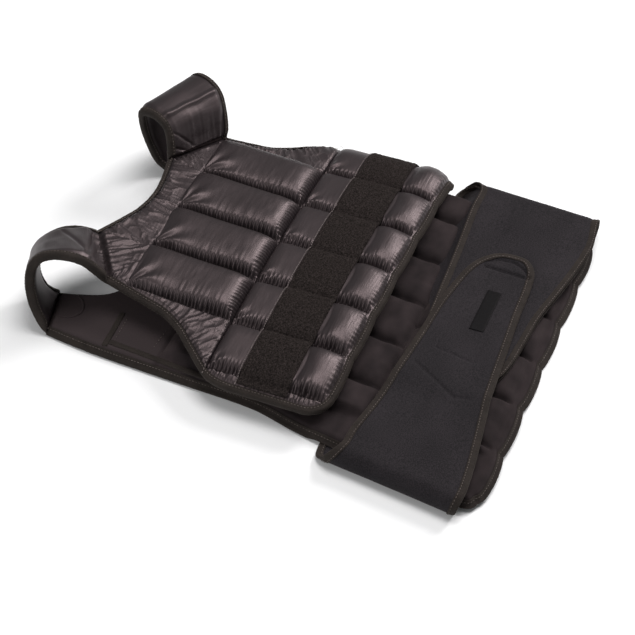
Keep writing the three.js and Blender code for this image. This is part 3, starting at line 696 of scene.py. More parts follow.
def front_runs():
    """The front panel's outer edge, from armhole to armhole, and its neckline."""
    w, rise = FRONT["half_width"], FRONT["rise"]
    left, right = FRONT_SHOULDER["left"], FRONT_SHOULDER["right"]
    mirrored = tuple((-x, y) for x, y in FRONT_ARMHOLE)
    left_arm = spline(scaled((*FRONT_ARMHOLE, left["arm"]), w, rise))
    right_arm = spline(scaled((*mirrored, right["arm"]), w, rise))
    radius, drop = FRONT["corner"], FRONT["drop"]

    def corner(side, start, end):
        turn = np.radians(np.linspace(start, end, 24))
        return np.stack([side * (w - radius) + radius * np.cos(turn),
                         -drop + radius + radius * np.sin(turn)], 1)

    # The pockets push the hem out by 0.9 mm, and their seams draw it in as much
    across = np.linspace(radius - w, w - radius, 300)[1:-1]
    bulge = 1.8 * np.abs(np.sin(np.pi * across / POCKET["pitch"])) ** 0.7 - 0.9
    hem = np.stack([across, -drop - bulge], 1)
    outer = np.vstack([right_arm[::-1], corner(-1, 180, 270), hem, corner(1, 270, 360),
                       left_arm])
    neck = spline(scaled((left["neck"], *FRONT_NECKLINE, right["neck"]), w, rise))
    return resampled(outer, RUN_STEP), neck


# Back panel

def belt_recess(x, y):
    """How far the back panel's underside is raised where the belts run below it."""
    ramp = BACK["pitch"] / 4
    inwards = smooth((np.abs(x) - BACK["pitch"] * 1.25) / ramp)
    collar = BELT_LOWER["right"][0] * BACK["drop"] + 3
    return inwards * smooth((collar + ramp - y) / ramp) * (BELT["thickness"] + 0.9)


def back_relief(x, y, edge, run=0):
    """Height of the back panel's inner face, with its two rows of pockets.

    run is how far round the edge a place is; it is not used here, as only the satin's folds need
    it.
    """
    pitch = BACK["pitch"]
    half = pitch * BACK["columns"] / 2
    upper = y > BACK["row_split"]
    share = (x - np.where(upper, 0, pitch / 2)) / pitch + 0.025 * noise1(y / 24, 301)
    low = (share - np.floor(share)) * pitch
    foot = np.where(upper, y - BACK["row_split"], y - BACK["hem_seam"])
    head = np.where(upper, BACK["row_start"] - y, BACK["row_split"] - y)
    held = smooth((half + 12 - np.abs(x)) / 8)
    quilt = swell(low, 20) * swell(pitch - low, 20) * swell(foot, 26) * swell(head, 26) * held
    height = BACK["thickness"] + 0.25 * belt_recess(x, y) + BACK["crown"] * quilt
    seam = np.minimum(low, pitch - low)
    pucker = np.exp(-((seam - 5) / 6) ** 2) * noise1(y / 7, 302) * 1.1
    end = np.minimum(np.abs(foot), np.abs(head))
    pucker = pucker + np.exp(-((end - 5) / 7) ** 2) * noise1(x / 7, 305) * 1.2
    height = height + quilt * (pucker + 0.6 * noise2(x / 21, y / 17, 303))
    row_seam = np.minimum(np.abs(y - BACK["row_split"]), np.abs(y - BACK["row_start"]))
    height = height - 2.6 * (np.exp(-seam / 3) * (foot > 0) * (head > 0)
                             + np.exp(-row_seam / 3)) * held
    height = height + 0.4 * noise2(x / 30, y / 26, 304)
    return BACK["rim"] + (height - BACK["rim"]) * smooth((edge + 1.5) / 9)


def back_under(x, y, edge):
    """Height of the back panel's underside."""
    return belt_recess(x, y) + 1.5 * (1 - smooth(edge / 7))


def flat_form(x, y, height):
    """A flat pattern that lies flat."""
    return np.stack([x, y, height], -1)


def back_runs():
    """The back panel's outer edge, from armhole to armhole, and its neckline."""
    w, rise = BACK["half_width"], BACK["rise"]
    left, right = BACK_SHOULDER["left"], BACK_SHOULDER["right"]
    outer = spline(scaled((right["arm"], *BACK_SIDE["right"], *BACK_SIDE["left"], left["arm"]),
                          w, rise))
    at_hem = smooth((BACK["hem_start"] - outer[:, 1]) / 12)
    bulge = np.abs(np.cos(np.pi * outer[:, 0] / BACK["pitch"])) ** 0.6
    outer[:, 1] -= at_hem * (BACK["hem_bulge"] * bulge + BACK["hem_growth"])
    neck = spline(scaled((left["neck"], *BACK_NECKLINE, right["neck"]), w, rise))
    return resampled(outer, RUN_STEP), neck


# Shoulder straps

def strap_edges(side, count=240):
    """Points on the neck edge and the arm edge, and the outward normal, along a strap."""
    sign = -1 if side == "right" else 1

    def seam(size, at, height):
        x, y = at[0] * size["half_width"], at[1] * size["rise"]
        return np.array([x, y, height(x, y)])

    def back_height(x, y):
        return (BACK["thickness"] + 0.6 * belt_recess(x, y)) / 2

    start = [seam(FRONT, FRONT_SHOULDER[side][e], front_middle) for e in ("neck", "arm")]
    end = [seam(BACK, BACK_SHOULDER[side][e], back_height) for e in ("neck", "arm")]
    rows = np.array(STRAP_SECTIONS[side])
    edges = []
    for k in range(2):
        out, head, up = rows[:, 3 * k], rows[:, 3 * k + 1], rows[:, 3 * k + 2]
        inner = np.stack([start[k][0] + sign * out * STRAP["reach"],
                          start[k][1] + head * STRAP["reach"], up * STRAP["height"]], 1)
        edges.append(curve_through(np.vstack([start[k], inner, end[k]]), count))
    neck, arm = edges
    ahead = np.gradient(neck, axis=0) + np.gradient(arm, axis=0)
    outward = sign * np.cross(arm - neck, ahead)
    outward /= np.linalg.norm(outward, axis=1)[:, None]

    # At its two seams the strap lies flat on the panels
    share = np.linspace(0, 1, count)
    for at, way in ((0, 1), (1, -1)):
        w = (1 - smooth(np.abs(share - at) / 0.07))[:, None]
        outward = outward * (1 - w) + np.array([0, 0, way]) * w
    outward /= np.linalg.norm(outward, axis=1)[:, None]
    return neck, arm, outward


def strap_half(inset):
    """Half the strap's thickness at a distance in from its edge."""
    past_rim = STRAP["thickness"] / 2 - STRAP["rim_half"]
    return STRAP["rim_half"] + past_rim * smooth(inset / STRAP["rim_run"])


def strap_relief(side, s, u):
    """Folds on the outer face: s along the strap from the front seam, u from neck to arm."""
    near = side == "right"
    base = np.exp(-((s / 0.08) ** 2))
    gather = np.cos(2 * np.pi * (u * (8 if near else 11) + 0.9 * noise1(u * 4, 401)))
    relief = 0.7 * gather * base
    relief = relief + 1.5 * noise2(s * 9, u * 2.2, 402) + 0.6 * noise2(s * 22, u * 4, 403)
    if near:
        # A broad ridge behind the seam, and three soft darts across it
        relief = relief + 2.6 * np.exp(-(((s - 0.17) / 0.045) ** 2))
        for start, slope, depth in ((0.15, 0.12, 1.4), (0.25, -0.2, 1.0), (0.08, 0.2, 1.2)):
            fold = s - start - slope * (u - 0.5)
            relief = relief - depth * np.exp(-((fold / 0.016) ** 2)) * smooth(u / 0.25)
    else:
        # A sharp ridge over the top, two darts from the neck edge, and fine streaks
        ridge = s - 0.3 + 0.03 * (u - 0.5) + 0.012 * noise1(u * 5, 404)
        relief = relief + 2.4 * np.exp(-((ridge / 0.017) ** 2))
        for start, slope, reach in ((0.22, 0.42, 0.42), (0.11, 0.25, 0.26)):
            fold = s - start + slope * u
            relief = relief - 1.5 * np.exp(-((fold / 0.009) ** 2)) * smooth((reach - u) / 0.06)
        streaks = noise2(u * 26, s * 3, 405) * smooth((0.32 - s) / 0.1)
        relief = relief + 0.45 * streaks
    return relief * smooth(u / 0.12) * smooth((1 - u) / 0.12)


def strap_band(side):
    """A padded strap: a closed band with the folds on its outer face."""
    neck, arm, outward = strap_edges(side)
    count = len(neck)
    upper = np.linspace(0, 1, 56)
    lower = np.linspace(1, 0, 16)[1:-1]
    s = np.linspace(0, 1, count)
    width = np.linalg.norm(arm - neck, axis=1)
    rings, flat = [], []
    for u, way in [(u, 1) for u in upper] + [(u, -1) for u in lower]:
        inset = np.minimum(u, 1 - u) * width
        height = strap_half(inset)
        if way > 0:
            height = height + strap_relief(side, s, np.full(count, u))
        rings.append(neck * (1 - u) + arm * u + outward * (way * height)[:, None])
        flat.append(np.stack([u * width, s * STRAP["length"]], 1))
    rings, flat = np.stack(rings, 1), np.stack(flat, 1)
    gather = np.repeat(0.25 + 0.6 * np.exp(-((s / 0.12) ** 2)), rings.shape[1])
    return tube_mesh(f"{side}_strap", rings, flat.reshape(-1, 2), gather)


# Belts

def belt_height(layer):
    """Height of a belt's middle on the back panel, layer 1 being on top of the other belt."""
    return (BACK["thickness"] + BACK["crown"] + BELT["over_back"] + BELT["thickness"] / 2
            + layer * (BELT["thickness"] + BELT["stack_gap"]))


def belt_shape(side):
    """A belt's flat outline, the function that folds it, and the one that lays it flat."""
    rows = np.array(BELT_ROWS[side]) * ([BACK["half_width"], BACK["drop"]] * 2 + [1])
    way = 1 if side == "right" else -1
    low, high = BELT["thickness"] / 2, belt_height(0)
    radius = (high - low) / 2
    first = rows[0]

    def fold_at(y):
        share = (y - first[1]) / (first[3] - first[1])
        return first[0] + (first[2] - first[0]) * share

    def flat(x, y):
        return np.stack([way * (x - fold_at(y)), y], -1)

    arc = math.pi * radius
    lower = np.array(BELT_LOWER[side]) * BACK["drop"]
    reach = abs(first[0]) - BELT["lower_inset"]
    collar = [(-arc - reach, lower[0]), (-arc - reach / 2, lower[0]), (-arc, lower[0]),
              (-arc / 2, (lower[0] + first[1]) / 2), *flat(rows[:, 0], rows[:, 1])]
    hem = [(-arc - reach, lower[1]), (-arc - reach / 2, lower[1]), (-arc, lower[1]),
           (-arc / 2, (lower[1] + first[3]) / 2), *flat(rows[:, 2], rows[:, 3])]
    run = spline(np.vstack([collar, hem[::-1]]))
    if way > 0:
        run = run[::-1]
    middle_x = (rows[:, 0] + rows[:, 2]) / 2
    order = np.argsort(middle_x)

    def form(u, y, height):
        x_top = fold_at(y) + way * u
        z_top = belt_height(np.interp(x_top, middle_x[order], rows[order, 4]))
        sag = 0.9 * noise2(x_top / 47 + 3, y / 39, 501) * smooth(u / 30)
        turn = np.clip(-u / radius, 0, math.pi)
        x_fold = fold_at(y) - way * np.sin(turn) * (radius + height)
        z_fold = (low + high) / 2 + np.cos(turn) * (radius + height)
        x_low = fold_at(y) + way * (-u - arc)
        x = np.where(u >= 0, x_top, np.where(u > -arc, x_fold, x_low))
        z = np.where(u >= 0, z_top + sag + height, np.where(u > -arc, z_fold, low - height))
        return np.stack([x, y, np.maximum(z, 0.05)], -1)

    return run, form, flat


def groove(x, y, start, end, width):
    """1 on a straight line between two points, falling off to its sides and past its ends."""
    ax, ay = start
    dx, dy = end[0] - ax, end[1] - ay
    length = math.hypot(dx, dy)
    along = ((x - ax) * dx + (y - ay) * dy) / length
    off = ((x - ax) * dy - (y - ay) * dx) / length
    ends = smooth(along / 3 + 0.5) * smooth((length - along) / 3 + 0.5)
    return np.exp(-((off / width) ** 2)) * ends


# Materials

def hex_colour(code):
    """An sRGB hex value as linear RGBA."""
    parts = [int(code[k:k + 2], 16) / 255 for k in (1, 3, 5)]
    return (*[c / 12.92 if c <= 0.04045 else ((c + 0.055) / 1.055) ** 2.4 for c in parts], 1)


def connect(material, made, **values):
    """Links or sets a node's inputs. A key is the input's name, or i and its number."""
    for key, value in values.items():
        by_number = key[0] == "i" and key[1:].isdigit()
        socket = made.inputs[int(key[1:]) if by_number else key.replace("_", " ")]
        if isinstance(value, bpy.types.NodeSocket):
            material.node_tree.links.new(value, socket)
        else:
            socket.default_value = value


def node(material, kind, settings=(), **values):
    """Adds a node: settings are its attributes, and values go to its inputs."""
    made = material.node_tree.nodes.new(kind)
    for key, value in dict(settings).items():
        setattr(made, key, value)
    connect(material, made, **values)
    return made


def new_material(name, **constants):
    """A material with its Principled shader, whose own sockets hold the constants."""
    material = bpy.data.materials.new(name)
    material.use_nodes = True
    shader = material.node_tree.nodes["Principled BSDF"]
    connect(material, shader, **constants)
    return material, shader


def grain(material, source, size, detail=2.0, rough=0.5):
    """An uneven pattern whose grains are size millimetres across, on Object or UV coordinates."""
    coordinates = node(material, "ShaderNodeTexCoord")
    mapping = node(material, "ShaderNodeMapping", Vector=coordinates.outputs[source],
                   Scale=[1000 / s for s in size])
    spots = node(material, "ShaderNodeTexNoise", Vector=mapping.outputs["Vector"], Scale=1.0,
                 Detail=detail, Roughness=rough)
    return spots.outputs["Fac"]


def two_tone(material, pattern, low, high, dark, light):
    """Dark cloth where a pattern is below low, light cloth above high, blended between."""
    share = node(material, "ShaderNodeMapRange", Value=pattern, From_Min=low, From_Max=high)
    mixed = node(material, "ShaderNodeMix", {"data_type": "RGBA"}, i0=share.outputs[0],
                 i6=hex_colour(dark), i7=hex_colour(light))
    return mixed.outputs[2]


def finish_cloth(material, shader, colour, raised, depth, strength):
    """Colours a cloth and raises its pattern; the depth is in metres."""
    relief = node(material, "ShaderNodeBump", Height=raised, Distance=depth, Strength=strength)
    connect(material, shader, Base_Color=colour, Normal=relief.outputs["Normal"])


def satin_material(colours):
    """Nylon satin: fine threads with a soft sheen, so slopes catch broad light bands."""
    material, shader = new_material(
        "nylon_satin", Roughness=0.43, Specular_IOR_Level=0.7, Sheen_Weight=0.04,
        Sheen_Roughness=0.4, Sheen_Tint=hex_colour("#9b8489"),
        Specular_Tint=hex_colour("#ffe9eb"))
    streak = grain(material, "UV", (18, 1.8, 18), 3)
    cloud = grain(material, "UV", (26, 34, 26))
    # Threads are 0.1 mm apart; they are drawn 0.9 mm apart so that they show
    threads = grain(material, "UV", (7, 0.9, 7), 1)
    both = node(material, "ShaderNodeMix", i0=0.55, i2=streak, i3=cloud).outputs[0]
    colour = two_tone(material, both, 0.3, 0.75, colours.satin_dark, colours.satin_light)
    rough = node(material, "ShaderNodeMapRange", Value=streak, To_Min=0.4, To_Max=0.5)
    weave = node(material, "ShaderNodeBump", Height=threads, Distance=0.0003, Strength=0.3)
    gather = node(material, "ShaderNodeAttribute", {"attribute_name": "gather"})
    pulled = node(material, "ShaderNodeMath", {"operation": "MULTIPLY"}, i0=streak,
                  i1=gather.outputs["Fac"])
    folds = node(material, "ShaderNodeBump", Height=pulled.outputs[0], Distance=0.0011,
                 Strength=0.45, Normal=weave.outputs["Normal"])
    connect(material, shader, Base_Color=colour, Roughness=rough.outputs[0],
            Normal=folds.outputs["Normal"])
    return material


def lining_material(colours):
    """Brushed polyester lining: matt, with a faint nap that evens out the light."""
    material, shader = new_material(
        "brushed_lining", Roughness=0.93, Specular_IOR_Level=0.1, Sheen_Weight=0.2,
        Sheen_Roughness=0.5, Sheen_Tint=hex_colour("#7a6d6c"))
    nap = grain(material, "Object", (1.1, 1.1, 1.1), 3, 0.65)
    cloud = grain(material, "Object", (30, 24, 30))
    pockets = two_tone(material, cloud, 0.35, 0.7, colours.lining_dark, colours.lining_light)
    # Painted light: the unpadded shoulder part, from the pockets' end to the collar, is paler,
    # standing in for the light that reaches it under the straps
    coordinates = node(material, "ShaderNodeTexCoord")
    axes = node(material, "ShaderNodeSeparateXYZ", Vector=coordinates.outputs["Object"])
    end = BACK["row_start"] / 1000 + ORIGIN[1]
    past_end = node(material, "ShaderNodeMapRange", Value=axes.outputs["Y"], From_Min=end,
                    From_Max=end + BACK["painted_light_blend"] / 1000)
    cloth = node(material, "ShaderNodeMix", {"data_type": "RGBA"}, i0=past_end.outputs[0],
                 i6=pockets, i7=hex_colour(colours.shoulder_painted_light))
    finish_cloth(material, shader, cloth.outputs[2], nap, 0.0005, 0.5)
    return material


def tape_material(colours):
    """Woven edge tape: a ribbed grain, brown-grey where the thread catches light."""
    material, shader = new_material(
        "woven_tape", Roughness=0.85, Specular_IOR_Level=0.15, Sheen_Weight=0.15,
        Sheen_Roughness=0.5, Sheen_Tint=hex_colour("#857b73"))
    # The ribs are 0.5 mm apart; they are drawn 1 mm apart so that they show
    ribs = grain(material, "Object", (1, 1, 1), 2, 0.6)
    cloud = grain(material, "Object", (14, 14, 14))
    both = node(material, "ShaderNodeMix", i0=0.4, i2=ribs, i3=cloud).outputs[0]
    colour = two_tone(material, both, 0.3, 0.7, colours.tape_dark, colours.tape_light)
    finish_cloth(material, shader, colour, ribs, 0.0006, 0.6)
    return material


def neoprene_material(colours):
    """Jersey-faced neoprene: matt charcoal with a fine even grain and faint rubbed clouds."""
    material, shader = new_material(
        "jersey_neoprene", Roughness=0.82, Specular_IOR_Level=0.12, Sheen_Weight=0.1,
        Sheen_Roughness=0.5, Sheen_Tint=hex_colour("#77706f"))
    # The knit is 0.4 mm apart; it is drawn 1.1 mm apart so that it shows
    knit = grain(material, "Object", (1.1, 1.1, 1.1), 2, 0.75)
    cloud = grain(material, "Object", (60, 45, 45), 1)
    both = node(material, "ShaderNodeMix", i0=0.2, i2=knit, i3=cloud).outputs[0]
    colour = two_tone(material, both, 0.4, 0.6, colours.neoprene_dark, colours.neoprene_light)
    finish_cloth(material, shader, colour, knit, 0.0004, 0.5)
    return material


def loop_material(colours):
    """Loop pile: thousands of tiny loops, seen as a coarse dark fuzz."""
    material, shader = new_material(
        "loop_pile", Roughness=0.98, Specular_IOR_Level=0.08, Sheen_Weight=0.1,
        Sheen_Roughness=0.7, Sheen_Tint=hex_colour("#6b5f58"))
    # Loops are 0.4 mm across; the fuzz is drawn 1.5 mm across so that it shows
    fuzz = grain(material, "Object", (1.5, 1.5, 1.5), 3, 0.8)
    colour = two_tone(material, fuzz, 0.42, 0.72, colours.loop_dark, colours.loop_light)
    finish_cloth(material, shader, colour, fuzz, 0.0016, 0.9)
    return material


def patch_material(colours):
    """Heat-bonded blank patch: smoother and blacker than the belt, with a faint satin gloss."""
    material, shader = new_material("bonded_patch", Roughness=0.6, Specular_IOR_Level=0.08)
    pressed = grain(material, "Object", (1.2, 1.2, 1.2))
    colour = two_tone(material, pressed, 0.3, 0.75, colours.patch_dark, colours.patch_light)
    finish_cloth(material, shader, colour, pressed, 0.0003, 0.3)
    return material


def thread_material(colours):
    """Bonded nylon sewing thread: a touch lighter than the tape, with a dull shine."""
    return spun_thread("sewing_thread", colours.thread_dark, colours.thread_light)


def pale_thread_material(colours):
    """Pale basting thread along the satin's seams, fine enough to fade into them."""
    return spun_thread("pale_thread", colours.pale_thread_dark, colours.pale_thread_light)


def spun_thread(name, dark, light):
    """Spun thread, whose twist shows as darker and lighter specks."""
    material, shader = new_material(name, Roughness=0.6, Specular_IOR_Level=0.2)
    twist = grain(material, "Object", (3, 3, 3))
    connect(material, shader, Base_Color=two_tone(material, twist, 0.3, 0.8, dark, light))
    return material


MAKERS = {
    "satin": satin_material, "lining": lining_material, "tape": tape_material,
    "neoprene": neoprene_material, "loop_pile": loop_material, "patch": patch_material,
    "thread": thread_material, "pale_thread": pale_thread_material,
}
made_materials = {}


def dress(obj, kind, slot=None, replaces=()):
    """Gives a piece its material and its place on the vest, and hides the solids it stands for.
    """
    if kind not in made_materials:
        made_materials[kind] = MAKERS[kind](bpy.context.scene.vest_colours)
    obj.data.materials.append(made_materials[kind])
    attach(obj, "root")
    slot or kind
    if replaces:
        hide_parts(*replaces)
    return obj


# Settings, operators and panel

def millimetres(name, description, value):
    """A length that is typed here in millimetres and kept in metres."""
    return bpy.props.FloatProperty(name=name, description=description, default=value / 1000,
                                   min=0.0001, unit="LENGTH", subtype="DISTANCE")


def colour_code(name, description, value):
    """A colour as an sRGB hex value."""
    return bpy.props.StringProperty(name=name, description=description, default=value)


class VestSizes(bpy.types.PropertyGroup):
    """Sizes of the cloth details"""

    pleat_pitch: millimetres("Pleat pitch", "Spacing of the gathers along the seams", 4.2)
    tape_width: millimetres("Tape width", "How far the edge tape covers each face", 4.0)
    tape_thickness: millimetres("Tape thickness", "Thickness of the edge tape", 0.9)
    stitch_spacing: millimetres("Stitch spacing", "From one stitch to the next", 3.4)
    stitch_length: millimetres("Stitch length", "Length of one stitch", 2.3)
    thread: millimetres("Thread", "Thickness of the sewing thread, drawn coarser to show", 0.8)
    grid: millimetres("Grid", "Spacing of the satin's mesh", 0.85)


class VestColours(bpy.types.PropertyGroup):
    """Colours as sRGB hex values"""

    satin_dark: colour_code("Satin, dark", "Darkest thread of the satin", "#141213")
    satin_light: colour_code("Satin, light", "Lightest thread of the satin", "#1f1c1e")
    lining_dark: colour_code("Lining, dark", "Hollows of the brushed lining", "#211d1e")
    lining_light: colour_code("Lining, light", "Nap of the brushed lining", "#302a2b")
    # Painted light: the shoulder part's paler lining colour stands in for light reaching it under
    # the straps
    shoulder_painted_light: colour_code("Facing", "Paler facing of the shoulder part", "#363031")
    tape_dark: colour_code("Tape, dark", "Gaps between the tape's ribs", "#1c1917")
    tape_light: colour_code("Tape, light", "The tape's ribs", "#2f2a27")
    neoprene_dark: colour_code("Neoprene, dark", "Hollows of the belt's knit face", "#161517")
    neoprene_light: colour_code("Neoprene, light", "The belt's knit face", "#2a272a")
    loop_dark: colour_code("Loop pile, dark", "Depth of the loop pile", "#0c0a09")
    loop_light: colour_code("Loop pile, light", "Tips of the loop pile", "#3b3534")
    patch_dark: colour_code("Patch, dark", "Pressed face of the blank patch", "#0a090a")
    patch_light: colour_code("Patch, light", "Gloss of the blank patch", "#121113")
    thread_dark: colour_code("Thread, dark", "Sewing thread between its twists", "#38322f")
    thread_light: colour_code("Thread, light", "Sewing thread on its twists", "#6f6662")
    pale_thread_dark: colour_code("Pale thread, dark", "Basting thread in shade", "#5a5251")
    pale_thread_light: colour_code("Pale thread, light", "Basting thread in light", "#8d8482")
    floor: colour_code("Floor", "Paper that the vest lies on", "#f0f4f5")
    world: colour_code("Surroundings", "Light from all round", "#fbfaf9")


def sizes_now():
    """The sizes in millimetres."""
    group = bpy.context.scene.vest_sizes
    return {name: getattr(group, name) * 1000 for name in VestSizes.__annotations__}


def panel_edge(run, form, top, under):
    """The surface function of a panel's edge, for its tape and stitches."""
    ahead = np.gradient(run, axis=0)
    ahead /= np.linalg.norm(ahead, axis=1)[:, None]
    out = np.stack([ahead[:, 1], -ahead[:, 0]], 1)

    def surface(inset, side, lift):
        flat = run - out * inset
        at = run - out * max(inset, 0)
        depth = np.full(len(run), max(inset, 0.0))
        high, low = top(at[:, 0], at[:, 1], depth), under(at[:, 0], at[:, 1], depth)
        middle, half = (high + low) / 2, (high - low) / 2
        return form(flat[:, 0], flat[:, 1], middle + side * (half + lift))

    return surface


def band_edge(neck, arm, outward, edge):
    """The surface function of a strap's edge, for its tape and stitches."""
    own, other = (neck, arm) if edge == "neck" else (arm, neck)
    out = own - other
    out /= np.linalg.norm(out, axis=1)[:, None]

    def surface(inset, side, lift):
        half = strap_half(np.full(len(own), max(inset, 0.0)))
        return own - out * inset + outward * (side * (half + lift))[:, None]

    return surface


def tape_with_stitches(name, surface, count, replaces, seed, faces=(1,), extra=0):
    """Folds a tape over an edge, extra wider than others, and gives its rows of stitches."""
    sizes = sizes_now()
    width, thickness = sizes["tape_width"] + extra, sizes["tape_thickness"]
    dress(folded_tape(name, surface, count, width, thickness, seed), "tape", replaces=replaces)
    rows = []
    inset = width - TAPE["stitch_inset"]
    lift = np.full(count, thickness + TAPE["stitch_lift"])
    for side in faces:
        line = np.hstack([surface(inset, side, lift), surface(inset - 1.5, side, lift)])
        line = resampled(line, sizes["stitch_spacing"] * 1.4)
        along = np.gradient(line[:, :3], axis=0)
        rows.append((line[:, :3], along, np.cross(along, line[:, 3:] - line[:, :3])))
    return rows


def sew(name, rows, thread):
    """Makes the rows of stitches one piece."""
    sizes = sizes_now()
    piece = stitches(name, rows, sizes["stitch_length"], sizes["thread"])
    dress(piece, thread, slot="tape")


class VEST_OT_front_panel(bpy.types.Operator):
    """Quilted satin front: upper pockets and yoke, and the row of pockets under the strip"""

    bl_idname = "vest.front_panel"
    bl_label = "Front panel"
    bl_options = {"REGISTER", "UNDO"}

    def execute(self, context):
        sizes = sizes_now()
        outer, neck = front_runs()
        outline = np.vstack([outer, neck])

        def top(x, y, edge, run):
            return front_relief(x, y, edge, run, sizes["pleat_pitch"])

        gap = FRONT["halves_gap"]
        for name, keep in (("front_upper_pockets", 1), ("front_lower_pockets", -1)):
            half = outline[outline[:, 1] * keep > gap]
            # The upper half starts where the cross seam cuts the outline, its widest gap
            if keep > 0:
                start = np.argmax(np.linalg.norm(np.diff(
                    np.vstack([half, half[:1]]), axis=0), axis=1))
                half = np.roll(half, -(start + 1), axis=0)
            seam_y = gap * keep
            ends = np.array([[half[-1, 0], seam_y], [half[0, 0], seam_y]])
            piece = cloth_pad(name, np.vstack([half, ends]), outline, (sizes["grid"], 5),
                              top, front_lining, front_form, front_gather)
            dress(piece, "satin", replaces=["front_panel"])
        return {"FINISHED"}


class VEST_OT_back_panel(bpy.types.Operator):
    """Matt back panel: two rows of pockets, the plain shoulder part and the scalloped hem"""

    bl_idname = "vest.back_panel"
    bl_label = "Back panel"
    bl_options = {"REGISTER", "UNDO"}

    def execute(self, context):
        outer, neck = back_runs()
        outline = np.vstack([outer, neck])
        piece = cloth_pad("back_pockets", outline, outline, (1.7, 6), back_relief,
                          back_under, flat_form)
        dress(piece, "lining", replaces=["back_panel"])
        return {"FINISHED"}


class VEST_OT_back_details(bpy.types.Operator):
    """Tapes sewn flat on the back panel's inner face, the shoulder lining's end and a thread"""

    bl_idname = "vest.back_details"
    bl_label = "Back panel details"
    bl_options = {"REGISTER", "UNDO"}

    def execute(self, context):
        outer, neck = back_runs()
        border = resampled(np.vstack([outer, neck]), 1)
        tree = outline_tree(border)

        def surface(x, y):
            distance, _ = nearest(tree, x, y)
            return back_relief(x, y, distance)

        for name, route, width, kind in BACK_TAPES:
            piece = sewn_band(name, spline(route, 1.5), width, surface)
            dress(piece, kind, slot=kind)
        spacing = sizes_now()["stitch_spacing"] * 1.3
        rows = []
        for route in LINING_THREADS:
            line = resampled(np.array(route, float), spacing)
            centres = np.column_stack([line, surface(line[:, 0], line[:, 1]) + 0.3])
            up = np.tile([0, 0, 1.0], (len(line), 1))
            rows.append((centres, np.gradient(centres, axis=0), up))
        sew("lining_stitches", rows, "thread")
        return {"FINISHED"}


class VEST_OT_straps(bpy.types.Operator):
    """Padded satin shoulder straps that stand as open loops"""

    bl_idname = "vest.straps"
    bl_label = "Shoulder straps"
    bl_options = {"REGISTER", "UNDO"}

    def execute(self, context):
        for side in ("right", "left"):
            piece = dress(strap_band(side), "satin", replaces=[f"{side}_shoulder_strap"])
        return {"FINISHED"}


class VEST_OT_seam_stitches(bpy.types.Operator):
    """Light stitches along the loop strip and at the ends of the cross seam"""

    bl_idname = "vest.seam_stitches"
    bl_label = "Seam stitches"
    bl_options = {"REGISTER", "UNDO"}

    def execute(self, context):
        stitch_spacing = sizes_now()["stitch_spacing"]
        reach = FRONT["half_width"] - STRIP["end_margin"]
        rows = []
        for y, low, high, spacing in ((0.3 - STRIP["start"], -reach, reach, 0.72),
                                      (0.5, -186, -122, 1.1), (0.5, 124, 186, 1.1)):
            line = np.arange(low, high, stitch_spacing * spacing)
            across = np.full(len(line), y)
            lift = strip_base(line) + (0.5 if y < 0 else -1.2)
            centres = front_form(line, across, lift)
            normals = front_form(line, across, lift + 1) - centres
            rows.append((centres, np.gradient(centres, axis=0), normals))
        sew("seam_stitches", rows, "pale_thread")
        return {"FINISHED"}


class VEST_OT_loop_strip(bpy.types.Operator):
    """Loop half of the hook-and-loop fastening, sewn over the lower pockets"""

    bl_idname = "vest.loop_strip"
    bl_label = "Loop strip"
    bl_options = {"REGISTER", "UNDO"}

    def execute(self, context):
        reach = FRONT["half_width"] - STRIP["end_margin"]
        low, high = -STRIP["start"] - STRIP["width"] + 1, -STRIP["start"] - 1
        outline = resampled(np.array([[-reach, high], [-reach, low], [reach, low],
                                      [reach, high], [-reach, high]], float), 2)[:-1]

        def top(x, y, edge, run):
            fuzz = 0.35 * noise2(x / 1.3, y / 1.3, 601) + 0.2 * noise2(x / 2.9, y / 2.9, 602)
            thickness = STRIP["thickness"] * smooth((edge + 0.8) / 2)
            return strip_base(x) + thickness + fuzz * smooth(edge / 2)

        def under(x, y, edge):
            return strip_base(x) + 0.05

        piece = cloth_pad("loop_strip_pile", outline, outline, (1.25, 4), top, under,
                          front_form)
        dress(piece, "loop_pile", replaces=["loop_strip"])
        return {"FINISHED"}


class VEST_OT_belts(bpy.types.Operator):
    """Waist belts: under the back panel, folded at its sides and laid across it"""

    bl_idname = "vest.belts"
    bl_label = "Waist belts"
    bl_options = {"REGISTER", "UNDO"}

    def execute(self, context):
        half = BELT["thickness"] / 2
        rows = []
        for side in ("right", "left"):
            run, form, flat = belt_shape(side)
            lines = [(flat(*start), flat(*end), width, depth)
                     for start, end, width, depth in BELT_LINES[side]]

            def top(x, y, edge, run=0):
                height = half * (0.55 + 0.45 * smooth(edge / 5))
                for start, end, width, depth in lines:
                    height = height - depth * groove(x, y, start, end, width)
                return height + 0.25 * noise2(x / 19, y / 23, 511)

            def under(x, y, edge):
                return -half * (0.55 + 0.45 * smooth(edge / 5))

            piece = cloth_pad(f"{side}_belt_face", run, run, (1.2, 4), top, under, form)
            dress(piece, "neoprene", replaces=[f"{side}_belt"])
            rows += tape_with_stitches(f"{side}_belt_tape", panel_edge(run, form, top, under),
                                       len(run), (), 520, faces=(1, -1),
                                       extra=BELT["extra_tape"])
        sew("belt_stitches", rows, "thread")
        return {"FINISHED"}


